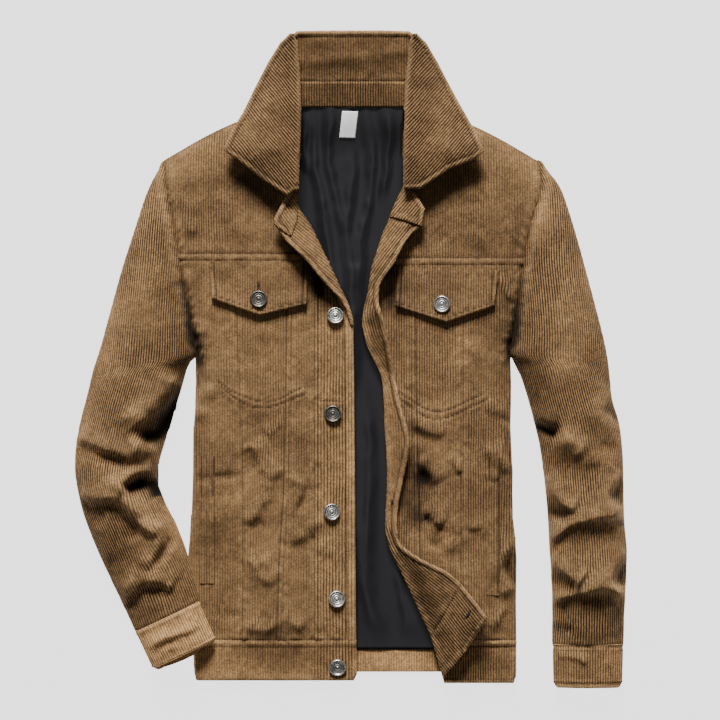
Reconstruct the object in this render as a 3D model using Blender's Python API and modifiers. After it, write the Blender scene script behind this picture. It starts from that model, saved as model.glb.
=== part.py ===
"""A corduroy jacket, unbuttoned and laid out flat on its back.

Each sewn piece is one solid: a wall of cloth about 2 mm thick.  X runs across the jacket with
the wearer's left at +X, Y runs from the hem (-) to the collar (+), and Z is up from the surface
that the jacket lies on.  Tables and lengths are in millimetres, and MM turns them into metres.
Names that end in _right and _left are the wearer's right and left.
"""
import math
from collections import namedtuple

import bmesh
import bpy
from mathutils import Vector

MM = 0.001

# Cloth and seams
CLOTH = 2.0                # wall of the corduroy
LINING_CLOTH = 1.2
SEAM_GAP = 0.3             # between two pieces sewn edge to edge
LAY_GAP = 0.6              # between a piece and the panel it lies on
ARMHOLE_GAP = 0.9          # between a sleeve and the body
STAND_OFF = 12.0           # how far the free edge of a turned facing stands off the front
STAND_OFF_WIDTH = 28.0
BACK_TOP = CLOTH           # top of the back, which lies on the surface
EDGE_TOP = BACK_TOP + SEAM_GAP + CLOTH

# Heights of the fronts and the sleeves
BODY_CROWN = 21.0          # top of the fronts above the surface
OPENING_DROP_RIGHT = 6.0   # how much lower the button edge lies
OPENING_DROP_LEFT = 10.0   # how much lower the rolled edge lies
OPENING_SLOPE = 75.0       # width over which each front edge sinks
SIDE_ROUND = 34.0          # width of the rounded side
SHOULDER_X = 222.0         # outer end of the shoulder line
SHOULDER_Y = 232.0
SHOULDER_SLOPE = 0.44      # rise of the shoulder towards the neck
SHOULDER_BOW = 8.5         # how far the shoulder line bows outwards
NECK_X = 61.0              # half width of the neck
SHOULDER_ROUND = 48.0      # width of the rounded shoulder
OPENING_X = 7.0            # button edge at the hem
HEM_TOP = 8.5              # top of the hem at its lower edge
HEM_ROUND = 70.0
PRESSED_TOP = 8.0          # hem corner that the right cuff lies on
PRESSED_FROM = (-120.0, -180.0)   # where the front starts to be pressed down, and over what length
PRESSED_OVER = (33.0, 45.0)
RAMP_TOP = 10.0            # underside of the right cuff where it lies on the hem
RAMP_FROM = (-250.0, -150.0)      # where the right sleeve starts to climb, and over what length
RAMP_OVER = (62.0, 75.0)
FRONTS_PART_X = 10.0       # between the button edge and the rolled edge
SHOULDER_SEAM = 1.0        # cloth between the shoulder seam and the fold at the shoulder
NECK_FOLD = 6.0            # flat cloth at the neck end of the shoulder

# The back lining: its sides, and the soft folds that run down it
LINING_SIDES = (-74.0, 112.0)
LINING_LOW = BACK_TOP + SEAM_GAP + LINING_CLOTH + 0.2
LINING_FOLD = 0.7
LINING_WAVE = 11.0
LINING_RIPPLE = 6.5
LINING_MARGIN = 14.0       # width over which the folds fade at the sides
LABEL_LIFT = 1.6
LABEL_CLOTH = 0.6

# Levels along the jacket
YOKE_Y = 116.0             # seam under the right yoke
YOKE_LEFT_DROP = 5.0       # how much lower the left yoke's seam lies
BAND_Y = -328.0            # seam above the hem band
DART_END_Y = -271.0        # where the left dart meets the rolled edge
MID_ROLL_Y = -293.0        # where the panel beside it starts to be the rolled edge
HEM_Y = -376.0             # lower edge of the right front
HEM_LEFT_Y = -379.0        # lower edge of the left front
HEM_BACK_Y = -366.0        # lower edge of the back, pulled up between the fronts
LINING_END_Y = -340.0
NECK_Y = 296.0             # neck seam at the back
NECK_SIDE_RIGHT = (-60.8, -60.8)  # x of the front neck seam, high and low
NECK_SIDE_LEFT = (67.0, 64.0)
ARMPIT_Y = 10.0            # where the sleeves part from the body
STAND_Y = 325.0            # seam between the collar's stand and fall
STAND_FOOT_Y = NECK_Y + 0.4
COLLAR_TOP_Y = 383.0
COLLAR_TOP = 44.0
FALL_HUMP = 4.0            # how far the fall bulges beside its roll
FALL_LIFT = 2.0 * CLOTH + 2.0 * LAY_GAP + 1.2
CUFF_TOP_RIGHT = 19.0
CUFF_TOP_LEFT = 21.0
CUFF_REACH_RIGHT = 6.0     # how much further the under layer of the right cuff reaches

BUTTON_RADIUS = 10.0
BUTTON_HEIGHT = 4.6
BUTTON_SIDES = 14
BUTTON_GAP = 0.9           # below a button, on cloth that curves

FLAP_LIFT = LAY_GAP + CLOTH + 0.5
WELT_RISE_RIGHT = 0.5      # how the welts lie on more or less curved cloth than the flaps
WELT_RISE_LEFT = -0.4

Point = namedtuple("Point", "x y")
Fold = namedtuple("Fold", "x0 y0 x1 y1 width height")
Station = namedtuple("Station", "outer_x outer_y inner_x inner_y crown lift")
Lift = namedtuple("Lift", "y top")
Flap = namedtuple("Flap", "inner_x inner_y inner_top outer_x outer_y outer_top")
Rib = namedtuple("Rib", "x y low high")
Button = namedtuple("Button", "name x y lift")


def points(*pairs):
    """Named points from (x, y) pairs."""
    return [Point(*pair) for pair in pairs]


# Seams and edges of the fronts, from the top down
SIDE_RIGHT = points(
    (-219, 232), (-217, 203), (-209.5, 165), (-202, 116), (-195, 75), (-187, 35), (-182, 12),
    (-181, -35), (-184, -82), (-185, -141), (-187, -190), (-190, -232), (-188, -281), (-185, -328),
    (-181, -376),
)
SIDE_LEFT = points(
    (222, 232), (226, 205), (214, 163), (204, 111), (199, 70), (193, 32), (188, 8), (189, -35),
    (188, -82), (190, -120), (190, -176), (195, -223), (194.5, -281), (195, -328), (194, -376),
)
PRINCESS_RIGHT = points(
    (-139, YOKE_Y), (-133, 51), (-129, -47), (-126, -117), (-125, -234), (-127, BAND_Y),
)
DART_RIGHT = points(
    (-66, YOKE_Y), (-69, 51), (-71, -70), (-73, -152), (-78, -234), (-81, BAND_Y),
)
PLACKET_RIGHT = points((-41, YOKE_Y), (-41, 0), (-41, BAND_Y))
ROLL_RIGHT = points(
    (-61, 203), (-61, 181), (-46, 157), (-30, 124), (-26, YOKE_Y), (-18, 99), (-10, 82), (-2, 65),
    (3, 49), (4, 35),
)
EDGE_RIGHT = points(
    (-26, YOKE_Y), (-18, 99), (-10, 82), (-2, 65), (3, 49), (4, 35), (5, -47), (6, -164), (7, BAND_Y),
)
PRINCESS_LEFT = points(
    (136, 109), (132, 44), (131, -47), (130, -164), (130, BAND_Y),
)
DART_LEFT = points(
    (68, 110), (71, 47), (72, -47), (75, -141), (77, -234), (78.5, -272),
)
ROLL_LEFT = points(
    (62, 203), (52, 183), (45, 165), (36, 143), (29, 121), (25, 110), (20, 78), (16, 60), (14, 42),
    (18, 21), (27, 1), (36, -19), (39, -45), (40, -75), (42, -105), (43, -143), (41, -196), (45, -217),
    (55, -239), (69, -268), (82, -297), (96, BAND_Y), (101, -352), (109, -376),
)
LAPEL_RIGHT = points(
    (-89, 160), (-76, 140), (-61, 125), (-48, 112), (-35, 96), (-22, 82), (-11, 71), (-5, 61),
    (-2, 52), (0, 41),
)
FACING_LEFT = points(
    (83, 155), (70, 145), (60, 130), (52, 114), (42, 100), (34, 86), (33, 66), (38, 48), (44, 24),
    (51, -16), (57, -47), (63, -68), (69, -92), (67, -112), (62, -137), (56, -168), (54, -190),
    (57, -213), (72, -226), (94, -238), (113, -247), (129, -261),
)

# Height of the seam where the sleeves are set in, from the hem up
ARMHOLE_LIFT = [
    Lift(-400, EDGE_TOP), Lift(0, EDGE_TOP), Lift(15, 5.5), Lift(45, 8), Lift(80, 11), Lift(116, 14),
    Lift(165, 17), Lift(205, 12), Lift(234, 5),
]

# Folds of the fronts: a line on the cloth, its half width and its height
FOLDS_RIGHT = [
    Fold(-104, -125, -81, -142, 10, -4.0), Fold(-110, -172, -94, -160, 9, 3.5),
    Fold(-96, -160, -78, -147, 9, -3.5), Fold(-155, -109, -122, -107, 9, -3.0),
    Fold(-116, -242, -92, -268, 12, -4.5), Fold(-123, -203, -109, -195, 8, 3.0),
    Fold(-124, -316, -88, -316, 9, -3.0), Fold(-70, -226, -40, -203, 10, 3.0),
    Fold(-99, -90, -78, -76, 10, 3.0), Fold(-175, -137, -128, -137, 12, 3.5),
    Fold(-165, -299, -128, -298, 9, 2.5),
]
FOLDS_LEFT = [
    Fold(73, -77, 114, -89, 10, -4.0), Fold(83, -129, 101, -152, 10, -4.0),
    Fold(88, -175, 108, -195, 9, 3.5), Fold(96, -206, 108, -222, 9, -3.5),
    Fold(158, -313, 184, -288, 12, -4.0), Fold(178, -107, 189, -135, 9, 4.0),
    Fold(193, -204, 180, -240, 8, 4.0), Fold(145, -190, 128, -250, 14, -3.0),
    Fold(150, 20, 105, -25, 16, 2.5),
]

# Sleeves: both edges from the shoulder to the cuff, the crown between them and the inner seam's lift
SLEEVE_RIGHT = [
    Station(-229, 228, -219.6, 229, 1, 5), Station(-238, 197, -217.3, 203, 8, 12),
    Station(-253, 152, -210.0, 165, 15, 17), Station(-268, 105, -202.5, 117, 21, 14),
    Station(-281, 58, -195.8, 77, 26, 11), Station(-293, 14, -188.4, 38, 30, 8),
    Station(-302, -14, -184.4, 12, 33, 5.5), Station(-308, -40, -194.0, -16, 33, EDGE_TOP),
    Station(-317, -75, -203.5, -50, 32, EDGE_TOP), Station(-322, -105, -216.0, -90, 31, EDGE_TOP),
    Station(-322, -138, -227.0, -134, 30, EDGE_TOP), Station(-314, -176, -219.0, -164, 30, EDGE_TOP),
    Station(-301, -212, -204.0, -193, 27, EDGE_TOP), Station(-284, -250, -190.5, -228, 24, EDGE_TOP),
    Station(-266, -288, -182.0, -258, 21, EDGE_TOP),
    Station(-251.5, -317.4, -177.5, -281.6, 18, EDGE_TOP),
]
SLEEVE_LEFT = [
    Station(232, 228, 222.6, 229, 1, 5), Station(247, 200, 226.3, 205, 8, 12),
    Station(263, 152, 214.4, 163, 15, 17), Station(276, 105, 204.4, 112, 21, 14),
    Station(288, 60, 199.5, 70, 26, 11), Station(298, 20, 193.4, 32, 30, 8),
    Station(303, -10, 193, 5, 33, 5.5), Station(306.5, -45, 205.5, -35, 34, EDGE_TOP),
    Station(315, -75, 216.0, -72, 34, EDGE_TOP), Station(319, -108, 224.0, -110, 33, EDGE_TOP),
    Station(320, -145, 229.0, -150, 33, EDGE_TOP), Station(321, -187, 232.0, -187, 32, EDGE_TOP),
    Station(324, -224, 234.0, -224, 30, EDGE_TOP), Station(323, -260, 236.5, -260, 27, EDGE_TOP),
    Station(321, -300, 237.0, -300, 24, EDGE_TOP), Station(320, -333, 237.0, -333, 20, EDGE_TOP),
]
FOLDS_SLEEVE_RIGHT = [
    Fold(-321, -95, -276, -115, 11, 5.0), Fold(-276, -115, -240, -119, 10, 4.0),
    Fold(-318, -112, -258, -127, 8, -6.0), Fold(-248, -82, -224, -74, 9, -6.0),
    Fold(-262, -153, -224, -134, 9, -6.0), Fold(-317, -164, -268, -168, 9, 5.0),
    Fold(-268, -168, -226, -198, 9, 5.0), Fold(-262, -183, -230, -212, 8, -5.0),
    Fold(-221, -204, -258, -260, 10, 5.0), Fold(-206, -218, -234, -250, 9, -5.0),
    Fold(-262, -292, -216, -262, 10, 4.0), Fold(-300, -185, -280, -235, 14, 2.5),
]
FOLDS_SLEEVE_LEFT = [
    Fold(234, -202, 306, -187, 9, 6.0), Fold(240, -218, 318, -202, 9, -6.0),
    Fold(238, -275, 306, -273, 9, 6.0), Fold(240, -288, 318, -284, 8, -5.5),
    Fold(232, -164, 262, -183, 10, -5.0), Fold(236, -237, 272, -260, 10, -5.0),
    Fold(318, -132, 301, -158, 7, 4.0), Fold(322, -228, 303, -254, 7, 4.0),
    Fold(250, -80, 300, -108, 16, 3.0), Fold(240, -128, 280, -146, 12, 3.5),
    Fold(245, -318, 312, -318, 10, 3.0),
]

# Collar fall: the seam to the stand and the free edge, from the right point round to the left one
COLLAR = [
    Flap(-60.5, 199, 32, -100, 208, 34), Flap(-60.5, 206, 34, -147, 245, 32),
    Flap(-60.5, 238, 36, -137, 270, 28), Flap(-60.5, 262, 38, -127, 288, 24),
    Flap(-60.5, 286, 40, -113, 316, 21), Flap(-60.5, 306, 41, -96, 349, 23),
    Flap(-60.5, STAND_Y - 6, 40, -81, 372, 31), Flap(-58, STAND_Y, 32, -63, COLLAR_TOP_Y, COLLAR_TOP),
    Flap(-25, STAND_Y, 27.5, -28, COLLAR_TOP_Y, 40), Flap(4, STAND_Y, 27, 4, COLLAR_TOP_Y, 38),
    Flap(33, STAND_Y, 27.5, 36, COLLAR_TOP_Y, 40), Flap(64, STAND_Y, 32, 71, COLLAR_TOP_Y, COLLAR_TOP),
    Flap(66.5, STAND_Y - 6, 40, 88, 372, 31), Flap(66.5, 306, 41, 103, 347, 23),
    Flap(65.5, 286, 40, 119, 316, 21), Flap(64.5, 262, 38, 134, 288, 24),
    Flap(63.5, 238, 36, 144, 270, 28), Flap(63, 206, 34, 155, 245, 32),
    Flap(63, 199, 32, 106, 218, 34),
]
CUFF_SEAM_SHARE = 0.35     # height of a cuff's side folds, as a share of its own height
FLAP_ROWS = 4
FLAP_COLUMNS = 10
STAND = [
    Rib(-60.4, 205, 12, 28), Rib(-60.4, 232, 11, 30), Rib(-60.4, 262, 8, 32), Rib(-60.4, 288, 7, 32),
    Rib(-58, STAND_FOOT_Y, 6, 29), Rib(-30, STAND_FOOT_Y, 5, 25), Rib(4, STAND_FOOT_Y, 5, 25),
    Rib(36, STAND_FOOT_Y, 5, 25), Rib(63, STAND_FOOT_Y, 6, 29), Rib(66.4, 288, 7, 32),
    Rib(65.2, 262, 8, 32), Rib(63.8, 232, 11, 30), Rib(62.8, 205, 12, 28),
]
STAND_COLUMNS = 3
FALL_COLUMNS = (0.0, 0.06, 0.16, 0.32, 0.52, 0.76, 1.0)

# Buttons: one row down the right front, one on each pocket flap, and what each lies on
BUTTONS = [
    Button("button_1", -17.5, 51.5, 0.0), Button("button_2", -20.5, -63, 0.0),
    Button("button_3", -22, -178, 0.0), Button("button_4", -16, -280, 0.0),
    Button("button_5", -15, -360, 0.0), Button("button_flap_right", -107, 71, FLAP_LIFT),
    Button("button_flap_left", 107, 65, FLAP_LIFT),
]

# Colours: base colour, roughness and metallic value of each finish
CORDUROY = ("corduroy", (0.230, 0.128, 0.055, 1), 0.9, 0.0)
LINING = ("lining", (0.022, 0.022, 0.026, 1), 0.5, 0.0)
LABEL = ("label", (0.80, 0.80, 0.79, 1), 0.7, 0.0)
METAL = ("button_metal", (0.46, 0.44, 0.40, 1), 0.35, 1.0)


def smooth(t):
    """0 to 1 with soft ends."""
    t = min(max(t, 0.0), 1.0)
    return t * t * (3.0 - 2.0 * t)


def dome(t):
    """Height of a rounded edge, steep at 0 and level at 1."""
    return math.sin(min(max(t, 0.0), 1.0) * math.pi / 2.0) ** 0.85


def lookup(table, y):
    """Straight interpolation in rows of (key, value) whose keys rise."""
    if y <= table[0][0]:
        return table[0][1]
    for low, high in zip(table, table[1:]):
        if y <= high[0]:
            share = (y - low[0]) / (high[0] - low[0])
            return low[1] + share * (high[1] - low[1])
    return table[-1][1]


def edge_x(rail, y):
    """Where an edge that runs down the jacket crosses the level y."""
    return lookup([(point.y, point.x) for point in reversed(rail)], y)


def rail_point(rail, share):
    """A point of a smooth curve through the rail, at a share of its length."""
    lengths = [math.dist(a, b) for a, b in zip(rail, rail[1:])]
    want = share * sum(lengths)
    index = 0
    while index < len(lengths) - 1 and want > lengths[index]:
        want -= lengths[index]
        index += 1
    t = want / lengths[index]
    start, end = Vector(rail[index]), Vector(rail[index + 1])
    before = Vector(rail[index - 1]) if index else start * 2 - end
    after = Vector(rail[index + 2]) if index + 2 < len(rail) else end * 2 - start
    lead, trail = (end - before) / 2, (after - start) / 2
    return ((2 * t ** 3 - 3 * t ** 2 + 1) * start + (t ** 3 - 2 * t ** 2 + t) * lead
            + (3 * t ** 2 - 2 * t ** 3) * end + (t ** 3 - t ** 2) * trail)


def smoothed(rail):
    """The same edge as many short steps along its smooth curve."""
    count = 5 * (len(rail) - 1)
    return [Point(*rail_point(rail, index / count)) for index in range(count + 1)]


SIDE_EDGE_RIGHT = smoothed(SIDE_RIGHT)
SIDE_EDGE_LEFT = smoothed(SIDE_LEFT)


def shifted(rail, dx):
    """The rail moved across, to open the gap of a seam."""
    return [Point(point.x + dx, point.y) for point in rail]


def between(rail, top_y, bottom_y):
    """The stretch of a rail from one level down to another."""
    middle = [point for point in rail if bottom_y + 3 < point.y < top_y - 3]
    return [Point(edge_x(rail, top_y), top_y), *middle, Point(edge_x(rail, bottom_y), bottom_y)]


def fold_height(folds, x, y):
    """Sum of the ridges and troughs near a point."""
    total = 0.0
    for fold in folds:
        along = Vector((fold.x1 - fold.x0, fold.y1 - fold.y0))
        away = Vector((x - fold.x0, y - fold.y0))
        reach = along.length
        forward = away.dot(along) / reach
        side = away.cross(along) / reach
        past = max(-forward, forward - reach, 0.0)
        total += fold.height * math.exp(-(side / fold.width) ** 2 - (past / (1.4 * fold.width)) ** 2)
    return total


def shoulder_y(x):
    """Level of the shoulder line, slightly bowed between the sleeve and the neck."""
    inward = SHOULDER_X - abs(x)
    bow = SHOULDER_BOW * math.sin(math.pi * min(max(inward / (SHOULDER_X - NECK_X), 0.0), 1.0))
    return SHOULDER_Y + SHOULDER_SLOPE * inward + bow


def shoulder_distance(x, y):
    """How far inside the shoulder line a point lies."""
    return (shoulder_y(x) - y) * math.cos(math.atan(SHOULDER_SLOPE))


def front_top(x, y):
    """Height of the outer face of the fronts, right or left by the sign of x."""
    right = x < FRONTS_PART_X
    side = SIDE_EDGE_RIGHT if right else SIDE_EDGE_LEFT
    lift = lookup(ARMHOLE_LIFT, y)
    inward = abs(edge_x(side, y)) - abs(x)
    top = lift + (BODY_CROWN - lift) * dome(inward / SIDE_ROUND)
    top = EDGE_TOP + (top - EDGE_TOP) * dome((shoulder_distance(x, y) + SHOULDER_SEAM) / SHOULDER_ROUND)
    if right:
        drop = OPENING_DROP_RIGHT
        inset = edge_x([*ROLL_RIGHT, Point(OPENING_X, HEM_Y)], y) - x
    else:
        drop = OPENING_DROP_LEFT
        inset = x - edge_x(ROLL_LEFT, y)
    sunk = drop * (1.0 - smooth(inset / OPENING_SLOPE))
    top -= sunk * dome((shoulder_distance(x, y) - NECK_FOLD) / SHOULDER_ROUND)
    if top > HEM_TOP:
        top = HEM_TOP + (top - HEM_TOP) * smooth((y - HEM_Y) / HEM_ROUND)
    top += fold_height(FOLDS_RIGHT if right else FOLDS_LEFT, x, y) * dome(inward / SIDE_ROUND)
    pressed = smooth((PRESSED_FROM[0] - x) / PRESSED_OVER[0])
    pressed *= smooth((PRESSED_FROM[1] - y) / PRESSED_OVER[1])
    if top > PRESSED_TOP:
        top += (PRESSED_TOP - top) * pressed
    return max(top, EDGE_TOP)


def ramp(x, y):
    """Underside of the right sleeve, which climbs on to the hem corner."""
    across = smooth((x - RAMP_FROM[0]) / RAMP_OVER[0])
    return RAMP_TOP * across * smooth((RAMP_FROM[1] - y) / RAMP_OVER[1])


def lining_top(x, y):
    """Height of the lining, with soft folds down the back."""
    broad = math.cos(x / LINING_WAVE + y / 160.0)
    narrow = 0.6 * math.cos(x / LINING_RIPPLE - y / 90.0)
    right, left = LINING_SIDES
    inside = smooth((x - right + 6.0) / LINING_MARGIN) * smooth((left + 6.0 - x) / LINING_MARGIN)
    return LINING_LOW + inside * LINING_FOLD * (1.6 + broad + narrow)


def make_material(finish):
    """A Principled material, made once for each finish."""
    name, colour, roughness, metallic = finish
    material = bpy.data.materials.get(name)
    if material is None:
        material = bpy.data.materials.new(name)
        material.use_nodes = True
        shader = material.node_tree.nodes["Principled BSDF"]
        shader.inputs["Base Color"].default_value = colour
        shader.inputs["Roughness"].default_value = roughness
        shader.inputs["Metallic"].default_value = metallic
        material.diffuse_color = colour
    return material


def make_object(name, mesh_maker, finish):
    """A named object with its own material, put in the jacket's collection."""
    mesh = bpy.data.meshes.new(name)
    mesh_maker.to_mesh(mesh)
    mesh_maker.free()
    piece = bpy.data.objects.new(name, mesh)
    material = make_material(finish).copy()
    material.name = name + "_" + finish[0]
    mesh.materials.append(material)
    mesh.shade_smooth()
    mesh.set_sharp_from_angle(angle=math.radians(40))
    bpy.data.collections["corduroy_jacket"].objects.link(piece)
    return piece


def even(count):
    """Column places spread evenly from 0 to 1."""
    return [index / count for index in range(count + 1)]


def crowded(count):
    """Column places that crowd towards both edges."""
    return [(1.0 - math.cos(math.pi * index / count)) / 2.0 for index in range(count + 1)]


def crowded_at_start(count):
    """Column places that crowd towards the first edge."""
    return [(index / count) ** 1.5 for index in range(count + 1)]


def grid_of(rows, columns, place):
    """An open grid whose corner (row, column) goes where place says."""
    sheet = bmesh.new()
    bmesh.ops.create_grid(sheet, x_segments=columns, y_segments=rows, size=0.5)
    for vertex in sheet.verts:
        column = round((vertex.co.x + 0.5) * columns)
        row = round((0.5 - vertex.co.y) * rows)
        vertex.co = Vector(place(row, column)) * MM
    return sheet


def close_wall(sheet, wall, floor, follow):
    """Turns an open grid into a closed wall of cloth below its outer face.

    With follow the inner face keeps the wall's thickness along the normal, and floor gives
    the lowest height that it may reach.  Edges stay upright, so that seams keep their gap.
    """
    sheet.normal_update()
    if sum(face.normal.z for face in sheet.faces) < 0:
        bmesh.ops.reverse_faces(sheet, faces=sheet.faces[:])
        sheet.normal_update()
    drops = []
    for vertex in sheet.verts:
        point = vertex.co / MM
        if follow and not vertex.is_boundary:
            inner = point - vertex.normal * wall
        else:
            inner = point - Vector((0, 0, wall))
        inner.z = max(inner.z, floor(inner.x, inner.y))
        drops.append((vertex.co.copy(), inner * MM))
    made = bmesh.ops.extrude_face_region(sheet, geom=sheet.faces[:])
    lower = [item for item in made["geom"] if isinstance(item, bmesh.types.BMVert)]
    inner_of = {tuple(outer): inner for outer, inner in drops}
    for vertex in lower:
        vertex.co = inner_of[tuple(vertex.co)]
    bmesh.ops.recalc_face_normals(sheet, faces=sheet.faces[:])
    return sheet


def panel(name, rails, rows, places, top, wall=CLOTH, floor=None, follow=False, finish=CORDUROY):
    """A wall of cloth between two rails, with its outer face at the height top(x, y)."""
    first, last = rails

    def place(row, column):
        start = rail_point(first, row / rows)
        end = rail_point(last, row / rows)
        spot = start.lerp(end, places[column])
        return spot.x, spot.y, top(spot.x, spot.y)

    sheet = grid_of(rows, len(places) - 1, place)
    lowest = floor or (lambda x, y: 0.0)
    return make_object(name, close_wall(sheet, wall, lowest, follow), finish)


def above_back(x, y):
    """Lowest height of a front's inner face."""
    return BACK_TOP + SEAM_GAP


def build_back():
    """The back, its yoke and its hem band, flat on the surface."""
    half_gap = SEAM_GAP / 2
    bands = [("back_yoke", SHOULDER_Y, YOKE_Y + half_gap, 7, 10),
             ("back_panel", YOKE_Y - half_gap, BAND_Y + half_gap, 26, 1),
             ("hem_band_back", BAND_Y - half_gap, HEM_BACK_Y, 2, 6)]
    for name, top_y, bottom_y, rows, columns in bands:
        rails = (between(SIDE_EDGE_RIGHT, top_y, bottom_y), between(SIDE_EDGE_LEFT, top_y, bottom_y))
        if name != "back_yoke":
            panel(name, rails, rows, even(columns), lambda x, y: BACK_TOP)
            continue

        def place(row, column):
            start = rail_point(rails[0], row / rows)
            end = rail_point(rails[1], row / rows)
            spot = start.lerp(end, column / columns)
            raised = spot.y + shoulder_rise(spot.x) * (1.0 - row / rows)
            return spot.x, raised, BACK_TOP

        sheet = grid_of(rows, columns, place)
        make_object(name, close_wall(sheet, CLOTH, lambda x, y: 0.0, False), CORDUROY)


def shoulder_rise(x):
    """How far the shoulder line stands above its outer end, level across the neck."""
    return max(0.0, min(shoulder_y(x), NECK_Y + 1.0) - SHOULDER_Y)


def build_lining():
    """The back lining in the opening, and the blank label at the neck."""
    right, left = LINING_SIDES
    neck_y = NECK_Y - 3.2
    rails = (points((-58, neck_y), (-58, 240), (right, 190), (right, LINING_END_Y)),
             points((62, neck_y), (60, 240), (left, 190), (left, LINING_END_Y)))
    panel("lining_back", rails, 9, even(13), lining_top, wall=LINING_CLOTH, finish=LINING)
    label = (points((-9.5, 291), (-13, 260)), points((9, 290.5), (5.5, 259.5)))
    panel("neck_label", label, 4, even(2), lambda x, y: lining_top(x, y) + LABEL_LIFT, wall=LABEL_CLOTH,
          finish=LABEL)


def build_front_right():
    """The wearer's right front, which carries the buttons."""
    half = SEAM_GAP / 2
    top_y, bottom_y = YOKE_Y - half, BAND_Y + half
    seams = [between(SIDE_EDGE_RIGHT, top_y, bottom_y), between(PRINCESS_RIGHT, top_y, bottom_y),
             between(DART_RIGHT, top_y, bottom_y), between(PLACKET_RIGHT, top_y, bottom_y),
             between(EDGE_RIGHT, top_y, bottom_y)]
    names = [("front_side_right", crowded_at_start(5)), ("front_mid_right", even(3)),
             ("front_centre_right", even(2)), ("placket_right", even(3))]
    for (name, places), start, end in zip(names, seams, seams[1:]):
        outer_gap = 0.0 if start is seams[0] else half
        inner_gap = 0.0 if end is seams[-1] else half
        panel(name, (shifted(start, outer_gap), shifted(end, -inner_gap)), 25, places, front_top,
              floor=above_back, follow=True)
    build_yoke("front_yoke_right", SIDE_EDGE_RIGHT, ROLL_RIGHT, YOKE_Y, -1)
    band = (points((-185, BAND_Y - half), (-183, HEM_Y + 8), (-180, HEM_Y)),
            points((7, BAND_Y - half), (8, HEM_Y + 8), (4, HEM_Y)))
    panel("hem_band_right", band, 4, even(12), front_top, floor=above_back, follow=True)


def build_front_left():
    """The wearer's left front, whose edge is rolled back on itself."""
    half = SEAM_GAP / 2
    top_y, bottom_y = YOKE_Y - YOKE_LEFT_DROP - half, BAND_Y + half
    princess = between(PRINCESS_LEFT, top_y, bottom_y)
    dart = between(DART_LEFT, top_y, DART_END_Y)
    mid_edge = [*dart, *between(ROLL_LEFT, MID_ROLL_Y, bottom_y)]
    side = between(SIDE_EDGE_LEFT, top_y, bottom_y)
    panel("front_side_left", (side, shifted(princess, half)), 25, crowded_at_start(5), front_top,
          floor=above_back, follow=True)
    panel("front_mid_left", (shifted(mid_edge, half), shifted(princess, -half)), 25, even(3), front_top,
          floor=above_back, follow=True)
    panel("front_centre_left", (between(ROLL_LEFT, top_y, DART_END_Y), shifted(dart, -half)), 24, even(3),
          front_top, floor=above_back, follow=True)
    build_yoke("front_yoke_left", SIDE_EDGE_LEFT, ROLL_LEFT, YOKE_Y - YOKE_LEFT_DROP, 1)
    band = (points((96.5, BAND_Y - half), (102, -352), (110, HEM_LEFT_Y)),
            points((195, BAND_Y - half), (194.5, HEM_LEFT_Y + 8), (191, HEM_LEFT_Y)))
    panel("hem_band_left", band, 4, even(7), front_top, floor=above_back, follow=True)


def build_yoke(name, side, roll, seam_y, sign):
    """A front yoke: armhole, shoulder, neck and rolled edge round one patch."""
    neck = NECK_SIDE_RIGHT if sign < 0 else NECK_SIDE_LEFT
    inner = [Point(neck[0], NECK_Y + 2.0), Point(neck[0], 262), Point(neck[1], 225)]
    inner += between(roll, 203.0, seam_y + SEAM_GAP / 2)
    outer = between(side, SHOULDER_Y - 1.0, seam_y + SEAM_GAP / 2)
    rows, places = 11, crowded_at_start(9)

    def place(row, column):
        share = row / rows
        spot = rail_point(outer, share).lerp(rail_point(inner, share), places[column])
        line = shoulder_y(spot.x) - SHOULDER_Y - SHOULDER_SLOPE * (SHOULDER_X - abs(spot.x))
        y = spot.y + line * (1.0 - share)
        return spot.x, y, front_top(spot.x, y)

    sheet = grid_of(rows, len(places) - 1, place)
    make_object(name, close_wall(sheet, CLOTH, above_back, True), CORDUROY)


def lying(lift):
    """Outer face of a piece that lies on a front."""
    return lambda x, y: front_top(x, y) + lift


def turned(lift):
    """Outer face of a turned facing, which lies at its roll and stands off at its free edge."""
    def top(x, y):
        if x < FRONTS_PART_X:
            inset = edge_x(ROLL_RIGHT, y) - x
        else:
            inset = x - edge_x(ROLL_LEFT, y)
        return front_top(x, y) + lift + STAND_OFF * smooth(inset / STAND_OFF_WIDTH)
    return top


def build_turned_edges():
    """The facings that the rolled fronts show, the stand's turned ends and the turned hem corner."""
    lift = LAY_GAP + CLOTH
    roll = between(ROLL_RIGHT, 180.5, 41.0)
    panel("facing_right", (LAPEL_RIGHT, roll), 12, even(3), turned(lift))
    tab_right = (points((-75, 184), (-82, 173), (-88.5, 161)),
                 points((-62, 204), (-61.6, 192), (-61.3, 181.4)))
    panel("stand_end_right", tab_right, 3, even(3), turned(lift))
    panel("facing_left", (between(ROLL_LEFT, 168, -323.5), FACING_LEFT), 30, even(3), turned(lift))
    tab_left = (points((62.6, 203.5), (54, 186), (46, 168.7)), points((76, 194), (87, 176), (83.5, 156)))
    panel("stand_end_left", tab_left, 3, even(3), turned(lift))
    corner = (points((94.4, -323.8), (101, -348), (109, -372)),
              points((129.4, -261.4), (160, -300), (136, -338)))
    panel("hem_corner_left", corner, 5, even(5), turned(lift))


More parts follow.
